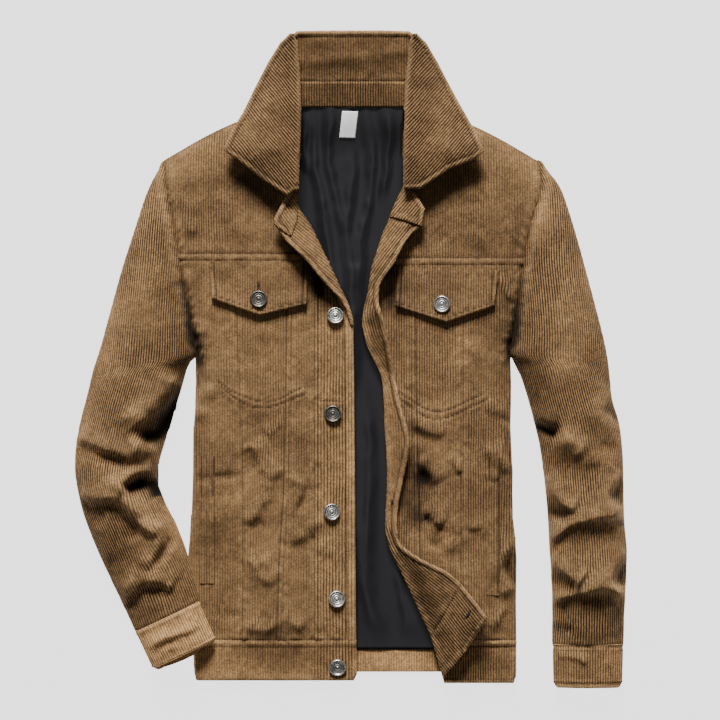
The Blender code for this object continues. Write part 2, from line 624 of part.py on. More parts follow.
def build_pockets():
    """Chest flaps with a point each, and the welts of the side pockets."""
    lift = FLAP_LIFT
    flap_right = (points((-165.5, 115), (-107, 114.5), (-49, 113.5)),
                  points((-161.5, 70.5), (-106, 51), (-50.5, 64)))
    flap_left = (points((55, 109.5), (113, 108.5), (173, 106)), points((52, 62), (112, 43), (169, 62.5)))
    for name, rails in (("pocket_flap_right", flap_right), ("pocket_flap_left", flap_left)):
        straight = [[edge_point(rail, share) for share in even(FLAP_COLUMNS)] for rail in rails]

        def place(row, column, edges=straight):
            spot = Vector(edges[0][column]).lerp(Vector(edges[1][column]), row / FLAP_ROWS)
            return spot.x, spot.y, front_top(spot.x, spot.y) + lift

        sheet = grid_of(FLAP_ROWS, FLAP_COLUMNS, place)
        make_object(name, close_wall(sheet, CLOTH, lambda x, y: 0.0, False), CORDUROY)
    welt_right = (points((-175, -112), (-177, -200), (-177, -262)),
                  points((-158, -113), (-159, -200), (-159, -262)))
    welt_left = (points((161, -113), (162, -200), (162, -275)),
                 points((175, -113), (176, -200), (176, -275)))
    panel("pocket_welt_right", welt_right, 12, even(2), lying(lift + WELT_RISE_RIGHT))
    panel("pocket_welt_left", welt_left, 12, even(2), lying(lift + WELT_RISE_LEFT))


def edge_point(corners, share):
    """A point of the straight runs between three corners, each run half of the whole."""
    start, end = (corners[0], corners[1]) if share < 0.5 else (corners[1], corners[2])
    spot = Vector(start).lerp(Vector(end), share * 2 if share < 0.5 else share * 2 - 1)
    return spot.x, spot.y


def sleeve_state(stations, share):
    """Edges, crown and lift of a sleeve at a share of its rows, set in along the armhole."""
    value = share * (len(stations) - 1)
    index = min(int(value), len(stations) - 2)
    low, high = stations[index], stations[index + 1]
    state = Station(*(a + (b - a) * (value - index) for a, b in zip(low, high)))
    side = SIDE_EDGE_RIGHT if state.outer_x < 0 else SIDE_EDGE_LEFT
    seam_x = edge_x(side, state.inner_y)
    seam_x += math.copysign(ARMHOLE_GAP, seam_x)
    if state.inner_y > ARMPIT_Y:
        return state._replace(inner_x=seam_x)
    return state


def build_sleeve(side, stations, folds, resting):
    """An upper half that arches over a flat under half, as one tube with two seams."""
    rows, columns = 26, 7
    places = crowded(columns)

    def spot_at(row, column):
        state = sleeve_state(stations, row / rows)
        share = places[column]
        x = state.outer_x + (state.inner_x - state.outer_x) * share
        y = state.outer_y + (state.inner_y - state.outer_y) * share
        return x, y, share, state

    def upper(row, column):
        x, y, share, state = spot_at(row, column)
        arch = math.sin(math.pi * share) ** 0.85
        edge = EDGE_TOP + (state.lift - EDGE_TOP) * smooth(share)
        rise = state.crown * arch + fold_height(folds, x, y) * min(1.0, 1.6 * arch)
        return x, y, resting(x, y) + edge + max(rise, 0.0)

    def under(row, column):
        x, y, _, _ = spot_at(row, column)
        return x, y, resting(x, y) + CLOTH

    def above_under(x, y):
        return resting(x, y) + CLOTH + SEAM_GAP

    arched = close_wall(grid_of(rows, columns, upper), CLOTH, above_under, True)
    make_object("sleeve_upper_" + side, arched, CORDUROY)
    flat = close_wall(grid_of(rows, columns, under), CLOTH, lambda x, y: 0.0, False)
    make_object("sleeve_under_" + side, flat, CORDUROY)


def build_cuff(name, corners, height, under_reach, resting):
    """A flat tube of two layers, a little longer underneath."""
    around, along = 18, 2
    wrist_outer, wrist_inner, hem_inner, hem_outer = (Vector(corner) for corner in corners)

    def place(row, column):
        turn = 2.0 * column / around
        upper = turn <= 1.0
        share = turn if upper else 2.0 - turn
        share = (1.0 - math.cos(math.pi * share)) / 2.0
        down = row / along
        spot = wrist_outer.lerp(wrist_inner, share).lerp(hem_outer.lerp(hem_inner, share), down)
        arch = math.sin(math.pi * share) ** 0.6
        if not upper:
            spot = spot + (hem_outer - wrist_outer).normalized() * under_reach * arch * down
        z = resting(spot.x, spot.y)
        if upper:
            z += height * (CUFF_SEAM_SHARE + (1.0 - CUFF_SEAM_SHARE) * arch)
        else:
            z += height * CUFF_SEAM_SHARE * (1.0 - arch)
        return spot.x, spot.y, z

    tube = grid_of(along, around, place)
    bmesh.ops.remove_doubles(tube, verts=tube.verts[:], dist=0.00005)
    bmesh.ops.recalc_face_normals(tube, faces=tube.faces[:])
    top = max(tube.faces, key=lambda face: face.calc_center_median().z)
    if top.normal.z < 0:
        bmesh.ops.reverse_faces(tube, faces=tube.faces[:])
    cuff = make_object(name, tube, CORDUROY)
    wall = cuff.modifiers.new("wall", "SOLIDIFY")
    wall.thickness = CLOTH * MM
    wall.offset = -1.0
    return cuff


def build_sleeves():
    """Both sleeves and their cuffs."""
    build_sleeve("right", SLEEVE_RIGHT, FOLDS_SLEEVE_RIGHT, ramp)
    build_sleeve("left", SLEEVE_LEFT, FOLDS_SLEEVE_LEFT, lambda x, y: 0.0)
    right_corners = [(-251.8, -318.2), (-177.8, -282.4), (-157.5, -327), (-231, -362)]
    left_corners = [(320, -333.6), (237, -333.6), (238, -382.5), (318.5, -382.5)]
    build_cuff("cuff_right", right_corners, CUFF_TOP_RIGHT, CUFF_REACH_RIGHT, ramp)
    build_cuff("cuff_left", left_corners, CUFF_TOP_LEFT, 0.0, lambda x, y: 0.0)


def build_collar():
    """The fall, folded out over the shoulders, and the stand inside it."""
    steps = 2
    rows = (len(COLLAR) - 1) * steps
    columns = len(FALL_COLUMNS) - 1

    def fall(row, column):
        value = row / steps
        index = min(int(value), len(COLLAR) - 2)
        low, high = COLLAR[index], COLLAR[index + 1]
        state = Flap(*(a + (b - a) * (value - index) for a, b in zip(low, high)))
        share = FALL_COLUMNS[column]
        x = state.inner_x + (state.outer_x - state.inner_x) * share
        y = state.inner_y + (state.outer_y - state.inner_y) * share
        at_back = smooth((state.inner_y - STAND_Y + 4.0) / 4.0)
        hump = (1.0 - at_back) * FALL_HUMP * math.sin(math.pi * share) * (1.0 - share)
        z = state.inner_top + (state.outer_top - state.inner_top) * share + hump
        if shoulder_distance(x, y) > -2.0:
            z = max(z, front_top(x, y) + FALL_LIFT)
        return x, y, z

    sheet = close_wall(grid_of(rows, columns, fall), CLOTH, lambda x, y: 0.0, False)
    make_object("collar_fall", sheet, CORDUROY)
    build_stand()


def build_stand():
    """The stand: down both sides of the neck and across the back."""
    lean = STAND_Y - 1.2 - NECK_Y

    def place(row, column):
        rib = STAND[row]
        share = column / STAND_COLUMNS
        across_back = smooth((rib.y - 288.0) / 8.0)
        return rib.x, rib.y + lean * share * across_back, rib.low + (rib.high - rib.low) * share

    band = grid_of(len(STAND) - 1, STAND_COLUMNS, place)
    band.normal_update()
    back = max(band.faces, key=lambda face: face.calc_center_median().y)
    if back.normal.z < 0:
        bmesh.ops.reverse_faces(band, faces=band.faces[:])
    stand = make_object("collar_stand", band, CORDUROY)
    wall = stand.modifiers.new("wall", "SOLIDIFY")
    wall.thickness = CLOTH * MM
    wall.offset = 1.0


def build_button(button):
    """A turned tack button with a raised rim and a small centre."""
    profile = points((0.0, 2.6), (0.28, 2.6), (0.42, 1.7), (0.66, 2.0), (0.82, BUTTON_HEIGHT),
                     (1.0, 2.4), (0.9, 0.0), (0.0, 0.0))
    seat = front_top(button.x, button.y) + BUTTON_GAP + button.lift
    east = Vector((2.0, 0.0, front_top(button.x + 1.0, button.y) - front_top(button.x - 1.0, button.y)))
    north = Vector((0.0, 2.0, front_top(button.x, button.y + 1.0) - front_top(button.x, button.y - 1.0)))
    outline = bmesh.new()
    corners = [outline.verts.new((point.x * BUTTON_RADIUS * MM, 0.0, point.y * MM)) for point in profile]
    for start, end in zip(corners, corners[1:]):
        outline.edges.new((start, end))
    piece = make_object(button.name, outline, METAL)
    turn = piece.modifiers.new("turned", "SCREW")
    turn.steps = BUTTON_SIDES
    turn.render_steps = BUTTON_SIDES
    turn.use_merge_vertices = True
    turn.merge_threshold = 0.00005
    turn.use_normal_calculate = True
    piece.location = Vector((button.x, button.y, seat)) * MM
    piece.rotation_mode = "QUATERNION"
    piece.rotation_quaternion = Vector((0.0, 0.0, 1.0)).rotation_difference(east.cross(north))


def main():
    """Clears the scene and builds the jacket."""
    for old in list(bpy.data.objects):
        bpy.data.objects.remove(old)
    jacket = bpy.data.collections.new("corduroy_jacket")
    bpy.context.scene.collection.children.link(jacket)
    build_back()
    build_lining()
    build_front_right()
    build_front_left()
    build_turned_edges()
    build_pockets()
    build_sleeves()
    build_collar()
    for button in BUTTONS:
        build_button(button)


main()
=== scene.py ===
"""A corduroy jacket, unbuttoned and laid out flat on its back, on a plain pale floor.

Every sewn piece is one thin closed shell of cloth.  Its outline, its height and its grain are worked
out from named tables in millimetres, and the wales of the corduroy, the seams and the stitches are
modelled on it.  X runs across the jacket with the wearer's left at +X, Y from the hem (-) to the
collar (+) and Z up.
"""

import logging
import math
from dataclasses import dataclass, field
from enum import Enum
from typing import Callable, Sequence

import bmesh
import bpy
import numpy as np
from mathutils import Matrix, Vector

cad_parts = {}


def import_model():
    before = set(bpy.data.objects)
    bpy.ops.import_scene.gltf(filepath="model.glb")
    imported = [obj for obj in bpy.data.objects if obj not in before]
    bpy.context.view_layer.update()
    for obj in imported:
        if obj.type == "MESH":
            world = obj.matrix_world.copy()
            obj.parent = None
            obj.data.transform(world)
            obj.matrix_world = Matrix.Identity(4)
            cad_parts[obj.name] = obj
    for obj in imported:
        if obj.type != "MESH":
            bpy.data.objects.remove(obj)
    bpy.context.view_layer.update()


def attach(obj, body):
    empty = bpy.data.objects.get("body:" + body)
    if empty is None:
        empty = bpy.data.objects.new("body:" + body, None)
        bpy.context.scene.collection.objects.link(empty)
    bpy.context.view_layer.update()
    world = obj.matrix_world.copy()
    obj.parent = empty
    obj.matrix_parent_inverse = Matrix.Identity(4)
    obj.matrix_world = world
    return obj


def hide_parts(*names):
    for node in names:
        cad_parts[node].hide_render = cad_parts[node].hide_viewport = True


logging.basicConfig(level=logging.INFO, format="%(message)s")
LOG = logging.getLogger("corduroy_jacket")

Array = np.ndarray
Height = Callable[[Array, Array], Array]
Pair = tuple[float, float]  # a point seen from above, a span or a size
Socket = bpy.types.NodeSocket
Maker = bmesh.types.BMesh
Finishes = dict[str, bpy.types.Material]

MM = 0.001
BODY = "root"

# ---- cloth
CLOTH = 2.0                # wall of the corduroy
LINING_CLOTH = 1.2
LABEL_CLOTH = 0.6
WELT_CLOTH = 0.5
LABEL_LIFT = 1.2           # how far the label's face stands off the lining
SEAM_GAP = 0.1
LAY_GAP = 0.6
TUCK = 3.0                 # how far a sleeve reaches under the armhole's edge
TUCK_DROP = 2.4
WALE = 3.0                 # from one wale to the next
WALE_HEIGHT = 0.42
BOLD_WALE = 1.2            # how much wider the wales are down the button edge
BOLD_FROM_TO = (-44, 14)   # where they are wide, across
COLUMN = WALE / 4.0        # the grid has four columns to a wale
ROW = 4.0
FRONT_GRID = {"row": 2.4, "column": 1.0}  # the finer grid of the fronts and yokes
PLAIN_ROW = 26.0           # row of the pieces that lie flat on the floor
NORMAL_STEP = 0.4          # how far apart the points are that a normal is worked out from

# ---- form of the body
STAND_OFF = 12.0
STAND_OFF_WIDTH = 28.0
CHEST_LIFT = 8.0
CHEST_WIDTH = 10.0
CHEST_FROM = 34.0
CHEST_TO = 152.0
BACK_TOP = CLOTH
EDGE_TOP = BACK_TOP + 0.3 + CLOTH
BODY_CROWN = 21.0
OPENING_DROP_RIGHT = 6.0
OPENING_DROP_LEFT = 10.0
OPENING_SLOPE = 75.0
SIDE_ROUND = 34.0
SHOULDER_X = 222.0
SHOULDER_Y = 232.0
SHOULDER_SLOPE = 0.44
SHOULDER_BOW = 8.5
NECK_X = 61.0
SHOULDER_ROUND = 48.0
SHOULDER_SEAM = 1.0
NECK_FOLD = 6.0
HEM_TOP = 8.5
HEM_ROUND = 70.0
PRESSED_TOP = 8.0
FOLD_FLOOR = 10.0          # no fold of a front dips under this level, where the lining lies
PRESSED_FROM = (-110.0, -165.0)
PRESSED_OVER = (60.0, 90.0)
RAMP_TOP = 10.0
RAMP_FROM = (-250.0, -150.0)
RAMP_OVER = (62.0, 75.0)
YOKE_Y = 116.0
YOKE_LEFT_Y = 111.0
BAND_Y = -328.0
BACK_BAND_Y = BAND_Y + 1.4  # the back hem band reaches a little higher than the front one
DART_END_Y = -271.0
HEM_Y = -376.0
HEM_LEFT_Y = -379.0
HEM_BACK_Y = -366.0
NECK_Y = 296.0
ARMPIT_Y = 10.0
STAND_Y = 325.0
COLLAR_TOP_Y = 383.0
LINING_LOW = BACK_TOP + 0.3 + LINING_CLOTH + 0.2
ARMHOLE_LIFT_Y = (-400, 0, 15, 45, 80, 116, 165, 205, 234)
ARMHOLE_LIFT = (EDGE_TOP, EDGE_TOP, 5.0, 6, 8, 12, 16, 12, 5)
FALL_LIFT = 2.0 * CLOTH + 2.0 * LAY_GAP + 1.2
FLAP_LIFT = LAY_GAP + CLOTH + 0.5
CUFF_SEAM_SHARE = 0.35
CUFF_CORNER = 5.0
CUFF_STITCHES = (6.0, 4.5)  # distances of its stitch lines from the wrist seam and the hem
CUFF_ARCH, CUFF_RISE = 0.6, 0.2     # roundness and height of a cuff's section, for its width
ARCH, ARCH_RISE = 0.68, 0.27        # the same of a sleeve's section
ARMPIT_SOFT = 14.0         # over which a sleeve comes out of the armhole


def smooth(t: Array) -> Array:
    """0 to 1 with soft ends."""
    t = np.clip(t, 0.0, 1.0)
    return t * t * (3.0 - 2.0 * t)


def dome(t: Array) -> Array:
    """Height of a rounded edge, steep at 0 and level at 1."""
    return np.sin(np.clip(t, 0.0, 1.0) * np.pi / 2.0) ** 0.85


def bell(distance: Array, width: float | Array, centre: float = 0.0) -> Array:
    """1 at the centre, dying out softly over the width on both sides."""
    return np.exp(-((distance - centre) / width) ** 2)


def reach_along(line: Array) -> Array:
    """Length along a line at each of its corners."""
    return np.concatenate([[0.0], np.cumsum(np.hypot(*np.diff(line[:, :2], axis=0).T))])


def over_arch(share: Array, rise: float, power: float) -> Array:
    """Share of the width under an arch at a share of the length over it."""
    t = np.linspace(0.0, 1.0, 400)
    reach = reach_along(np.column_stack([t, rise * np.sin(np.pi * t) ** power]))
    return np.interp(share, reach / reach[-1], t)


def spline(corners: Sequence[Sequence[float]], step: float = 4.0) -> Array:
    """Points along a smooth curve through the corners.

    Args:
        corners: rows of two or more numbers; the first two are x and y.
        step: distance between the points, in millimetres.

    Returns:
        One row for each point, with as many columns as the corners have.
    """
    knots = np.array(corners, float)
    if len(knots) < 3:
        count = max(1, int(math.dist(knots[0][:2], knots[-1][:2]) / step))
        return np.linspace(knots[0], knots[-1], count + 1)
    padded = np.vstack([2 * knots[0] - knots[1], knots, 2 * knots[-1] - knots[-2]])
    rows = []
    for index in range(1, len(padded) - 2):
        before, start, end, after = padded[index - 1:index + 3]
        count = max(2, int(np.hypot(*(end - start)[:2]) / step))
        t = (np.arange(count) / count)[:, None]
        bend, twist = 2 * before - 5 * start + 4 * end - after, 3 * start - before - 3 * end + after
        rows.append(0.5 * (2 * start + (end - before) * t + bend * t ** 2 + twist * t ** 3))
    return np.vstack([*rows, knots[-1:]])


def straight(corners: Sequence[Sequence[float]], step: float = 4.0) -> Array:
    """Points along the straight runs between the corners, the corners included."""
    knots = np.array(corners, float)
    rows = []
    for start, end in zip(knots, knots[1:]):
        count = max(1, int(np.hypot(*(end - start)[:2]) / step))
        rows.append(start + (end - start) * (np.arange(count) / count)[:, None])
    return np.vstack([*rows, knots[-1:]])


def crossing(line: Array, y: Array) -> Array:
    """Where an edge that runs down the jacket crosses the level y."""
    order = np.argsort(line[:, 1], kind="stable")
    return np.interp(y, line[order, 1], line[order, 0])


def cut_line(line: Array, top_y: float, bottom_y: float, shift: float = 0.0) -> Array:
    """The stretch of a descending edge between two levels, moved across by shift."""
    inside = line[(line[:, 1] < top_y - 1.0) & (line[:, 1] > bottom_y + 1.0)]
    ends = [(float(crossing(line, y)), y) for y in (top_y, bottom_y)]
    made = np.vstack([ends[0], inside, ends[1]])
    made[:, 0] += shift
    return made


def nearest(line: Array, at: Array) -> tuple[Array, Array, Array, Array]:
    """Nearest points of a polyline.

    Args:
        line: corners of the polyline, one row each.
        at: points to measure from, one row each.

    Returns:
        Distance, nearest point, side (positive on the left of the run) and share of the length.
    """
    starts, runs = line[:-1], np.diff(line, axis=0)
    squared = np.maximum((runs ** 2).sum(1), 1e-12)
    lengths = np.sqrt(squared)
    reached = np.concatenate([[0.0], np.cumsum(lengths)])
    best = np.full(len(at), 1e18)
    point, side, share = np.zeros_like(at), np.zeros(len(at)), np.zeros(len(at))
    for index, (start, run) in enumerate(zip(starts, runs)):
        away = at - start
        t = np.clip((away @ run) / squared[index], 0.0, 1.0)
        foot = start + t[:, None] * run
        distance = ((at - foot) ** 2).sum(1)
        closer = distance < best
        best[closer] = distance[closer]
        point[closer] = foot[closer]
        side[closer] = (run[0] * away[closer, 1] - run[1] * away[closer, 0])
        share[closer] = (reached[index] + t[closer] * lengths[index]) / reached[-1]
    return np.sqrt(best), point, np.sign(side), share


def inside_outline(outline: Array, at: Array) -> Array:
    """Which points lie inside a closed outline."""
    x, y = at[:, 0], at[:, 1]
    found = np.zeros(len(at), bool)
    for (x0, y0), (x1, y1) in zip(outline, np.roll(outline, -1, axis=0)):
        if y0 == y1:
            continue
        crossed = (y0 > y) != (y1 > y)
        found ^= crossed & (x < (x1 - x0) * (y - y0) / (y1 - y0) + x0)
    return found


class Ripple:
    """Soft uneven noise on a plane, from one table of even random numbers."""

    def __init__(self, seed: int) -> None:
        self.table = np.random.default_rng(seed).uniform(-1.0, 1.0, (64, 64))

    def __call__(self, x: Array, y: Array, scale: float, stretch: float = 1.0) -> Array:
        """Value between -1 and 1.

        Args:
            x: across, in millimetres.
            y: along, in millimetres.
            scale: size of one bump, in millimetres.
            stretch: how much longer a bump is along y.

        Returns:
            The noise at each point.
        """
        column, row = x / scale, y / (scale * stretch)
        c0, r0 = np.floor(column).astype(int), np.floor(row).astype(int)
        s, t = smooth(column - c0), smooth(row - r0)
        at = [[self.table[(r0 + j) % 64, (c0 + i) % 64] for i in (0, 1)] for j in (0, 1)]
        return (at[0][0] * (1 - s) + at[0][1] * s) * (1 - t) + (at[1][0] * (1 - s) + at[1][1] * s) * t


RIPPLE = Ripple(17)


@dataclass(frozen=True)
class Crease:
    """A ridge or a hollow along a line on the cloth.

    Attributes:
        line: corners of the line, in millimetres.
        height: height of the ridge, negative for a hollow.
        left: half width on the left of the line's run.
        right: half width on its right.
        fade: share of the length over which each end dies out.
        dark: how deep the painted shade along the line is; it darkens the pile's colour.
    """

    line: tuple[Pair, ...]
    height: float
    left: float
    right: float
    fade: float = 0.25
    dark: float = 0.0

    def at(self, x: Array, y: Array) -> Array:
        """Share of the crease that each point gets, 1 on its line."""
        corners = np.array(self.line, float)
        reach = 3.0 * max(self.left, self.right)
        low, high = corners.min(0) - reach, corners.max(0) + reach
        near = (x > low[0]) & (x < high[0]) & (y > low[1]) & (y < high[1])
        total = np.zeros_like(x)
        if not near.any():
            return total
        distance, _, side, share = nearest(spline(self.line, 5.0), np.column_stack([x[near], y[near]]))
        width = np.where(side > 0, self.left, self.right)
        power = np.where(width < 0.7 * max(self.left, self.right), 1.4, 2.0)
        ends = 1.0
        if self.fade > 0:
            ends = smooth(share / self.fade + 0.1) * smooth((1.0 - share) / self.fade + 0.1)
        uneven = 1.0 + 0.35 * RIPPLE(x[near] + 9.0 * self.height, y[near], 13.0)
        total[near] = np.exp(-(distance / width) ** power) * ends * uneven
        return total


def creases(*rows: tuple[Pair | float, ...]) -> tuple[Crease, ...]:
    """Creases from rows that hold the corners of a line and then the other values."""
    made = []
    for row in rows:
        line = tuple(value for value in row if isinstance(value, tuple))
        made.append(Crease(line, *row[len(line):]))
    return tuple(made)


def crease_sum(folds: Sequence[Crease], x: Array, y: Array, kind: str = "height") -> Array:
    """Height or painted shade of all creases at each point, along slightly wandering lines."""
    across = x + 1.8 * RIPPLE(x + 40.0, y, 20.0) + 0.7 * RIPPLE(x, y + 70.0, 8.0)
    along = y + 1.8 * RIPPLE(x, y + 150.0, 20.0) + 0.7 * RIPPLE(x + 90.0, y, 8.0)
    total = np.zeros(len(x))
    for crease in folds:
        amount = getattr(crease, kind)
        if amount:
            total += amount * crease.at(across, along)
    return total


# ---- seams and edges, from the top down
SIDE_RIGHT = spline((
    (-219, 232), (-217, 203), (-209.5, 165), (-202, 116), (-195, 75), (-187, 35), (-182, 12),
    (-181, -35), (-184, -82), (-185, -141), (-187, -190), (-190, -232), (-188, -281), (-185, -328),
    (-181, -376),
), 8)
SIDE_LEFT = spline((
    (222, 232), (226, 205), (214, 163), (204, 111), (199, 70), (193, 32), (188, 8), (189, -35),
    (188, -82), (190, -120), (190, -176), (195, -223), (194.5, -281), (195, -328), (194, -376),
), 8)
PRINCESS_RIGHT = spline((
    (-139, 116), (-133, 51), (-129, -47), (-126, -117), (-125, -234), (-127, -328),
), 10)
DART_RIGHT = spline(((-66, 116), (-69, 51), (-71, -70), (-73, -152), (-78, -234), (-81, -328)), 10)
PLACKET_RIGHT = straight(((-41, 116), (-41, 0), (-41, -328)), 40)
ROLL_RIGHT = spline((
    (-61, 206), (-61, 181), (-46, 157), (-30, 124), (-26, 116), (-18, 99), (-10, 82), (-2, 65),
    (3, 49), (4, 35),
))
EDGE_RIGHT = np.vstack([
    ROLL_RIGHT[ROLL_RIGHT[:, 1] < 116],
    spline(((4, 30), (5, -47), (6, -164), (7, -328)), 10),
])
OPENING_RIGHT = np.vstack([ROLL_RIGHT, (7, HEM_Y)])
PRINCESS_LEFT = spline(((136, 111), (132, 44), (131, -47), (130, -164), (130, -328)), 10)
DART_LEFT = spline(((68, 111), (71, 47), (72, -47), (75, -141), (77, -234), (78.5, -272)), 10)
ROLL_LEFT = spline((
    (62, 203), (52, 183), (45, 165), (36, 143), (29, 121), (25, 110), (20, 78), (16, 60), (14, 42),
    (18, 21), (27, 1), (36, -19), (39, -45), (40, -75), (42, -105), (43, -143), (41, -196), (45, -217),
    (55, -239), (69, -268), (82, -297), (96, -328), (101, -352), (109, -379),
))
GRAIN_LEFT = spline((
    (60, 200), (22, 85), (20, 30), (38, -45), (42, -150), (52, -230), (94, -326), (114, -385),
), 2)
LAPEL_RIGHT = spline((
    (-89, 160), (-76, 140), (-61, 125), (-48, 112), (-35, 96), (-22, 82), (-11, 71), (-5, 61),
    (-2, 52), (0, 41),
))
FACING_LEFT = spline((
    (83, 155), (70, 145), (60, 130), (52, 114), (42, 100), (34, 86), (33, 66), (38, 48), (44, 24),
    (51, -16), (57, -47), (63, -68), (69, -92), (67, -112), (62, -137), (56, -168), (54, -190),
    (57, -213), (72, -226), (94, -238), (113, -247), (129, -261),
))

# each row: corners of the line, height, left and right half width, and where given the fade and the painted
# shade along the line
CREASES_RIGHT = creases(
    ((-118, -92), (-108, -115), (-94, -134), (-84, -144), 4.6, 18, 6),
    ((-84, -140), (-102, -165), (-122, -202), 3.6, 6, 16),
    ((-122, -104), (-118, -118), (-110, -130), -2.4, 9, 9, 0.25, 0.1),
    ((-78, -141), (-62, -140), (-56, -150), (-60, -168), (-67, -184), 3.6, 5, 11),
    ((-50, -146), (-54, -164), (-62, -180), -2.6, 5, 5),
    ((-32, -184), (-52, -195), (-77, -216), 3.4, 13, 13),
    ((-36, -206), (-50, -212), (-70, -222), -1.4, 10, 9, 0.25, 0.2),
    ((-100, -188), (-110, -195), (-121, -199), -1.4, 8, 7, 0.25, 0.16),
    ((-127, -228), (-112, -244), (-92, -268), 3, 15, 7),
    ((-106, -230), (-94, -242), (-80, -258), 2, 9, 5),
    ((-127, -308), (-111, -314), (-90, -312), (-78, -300), 3.2, 15, 6),
    ((-106, -300), (-92, -308), -1.8, 8, 8, 0.25, 0.12),
    ((-82, -298), (-70, -307), (-55, -320), 2.6, 13, 6),
    ((-184, -140), (-155, -137), (-128, -136), -2.6, 5, 5),
    ((-166, -294), (-147, -298), (-128, -300), -2, 5, 5),
    ((-100, -90), (-88, -80), (-76, -74), 2.6, 8, 5),
    ((-40, -216), (-24, -228), (-6, -238), 2.4, 12, 6),
    ((-38, -118), (-36, -140), (-38, -160), -1.6, 5, 5),
    ((-60, -20), (-66, -60), (-62, -100), 1.8, 14, 14),
    ((-186, 46), (-177, 12), (-170, -12), (-171, -32), (-179, -53), (-184, -76), 5, 13, 3, 0.15),
    ((-193, 42), (-183, 12), (-177, -12), (-178, -32), (-187, -54), -2.4, 4, 6, 0.15, 0.3),
    ((-206, 196), (-192, 176), (-184, 140), 2.4, 9, 12),
    ((-150, 200), (-140, 170), (-148, 135), 1.8, 16, 16),
    ((-160, 40), (-148, 0), (-152, -50), 1.8, 14, 14),
    ((-110, 30), (-96, 0), (-104, -40), -1.6, 14, 14),
)
CREASES_LEFT = creases(
    ((66, -64), (80, -77), (96, -83), (114, -86), 3.6, 16, 6),
    ((72, -80), (90, -90), (110, -94), -1.6, 6, 10),
    ((76, -116), (88, -130), (102, -148), 4.4, 18, 5),
    ((80, -128), (91, -140), (102, -151), -2.8, 8, 9, 0.25, 0.25),
    ((116, -112), (124, -124), (128, -134), 2.6, 8, 4),
    ((84, -96), (80, -140), (78, -170), (90, -214), -3, 20, 20, 0.3, 0.6),
    ((84, -170), (96, -184), (108, -196), 4.2, 16, 5),
    ((88, -182), (98, -192), -3, 5, 6),
    ((110, -194), (104, -206), (95, -222), -3, 8, 8, 0.25, 0.25),
    ((112, -186), (122, -200), (118, -226), 2.2, 10, 10),
    ((156, -56), (172, -62), (187, -65), 2.6, 10, 4),
    ((190, -73), (177, -103), (190, -130), 5, 4, 14, 0.15),
    ((197, -76), (188, -103), (197, -126), -6, 9, 6, 0.1),
    ((192, -200), (186, -220), (176, -243), (183, -262), (192, -272), 4.8, 4, 13, 0.15),
    ((200, -212), (187, -246), (194, -264), -6, 8, 6, 0.1),
    ((186, -284), (176, -298), (167, -311), (155, -304), (145, -322), 3, 5, 10),
    ((153, -107), (173, -108), 1.6, 6, 3.5),
    ((155, -134), (173, -135), 1.4, 5, 3),
    ((134, -197), (155, -197), 1.4, 5, 3),
    ((171, 98), (180, 84), (188, 68), 3, 6, 5),
    ((98, 150), (110, 138), -1.6, 9, 9),
    ((150, 20), (128, -4), (105, -25), 2, 14, 14),
    ((145, -190), (138, -220), (128, -250), -2.4, 12, 12),
    ((205, 190), (194, 170), (186, 130), 2.4, 12, 9),
    ((140, 200), (150, 160), (142, 130), 1.8, 16, 16),
)
# painted shadows of the lapels and of the collar's flaps on the cloth below them; these creases have no
# height
SHADE_RIGHT = creases(
    ((-78, 168), (-60, 128), (-40, 88), (-14, 44), 0, 20, 24, 0.12, 0.5),
    ((-74, 156), (-53, 126), (-42, 94), (-24, 56), 0, 16, 10, 0.12, 0.7),
    ((-134, 214), (-112, 198), (-84, 184), 0, 22, 16, 0.1, 0.65),
)
SHADE_LEFT = creases(
    ((47, 118), (44, 82), (43, 46), 0, 12, 10, 0.2, 0.75),
    ((52, 122), (50, 90), (48, 50), 0, 28, 8, 0.2, 0.22),
    ((80, 186), (104, 202), (142, 226), 0, 18, 13, 0.1, 0.55),
)
# the fronts' creases carry these painted shadows too
CREASES_RIGHT += SHADE_RIGHT
CREASES_LEFT += SHADE_LEFT


class Side(Enum):
    """The wearer's side that a piece belongs to."""

    RIGHT = -1
    LEFT = 1


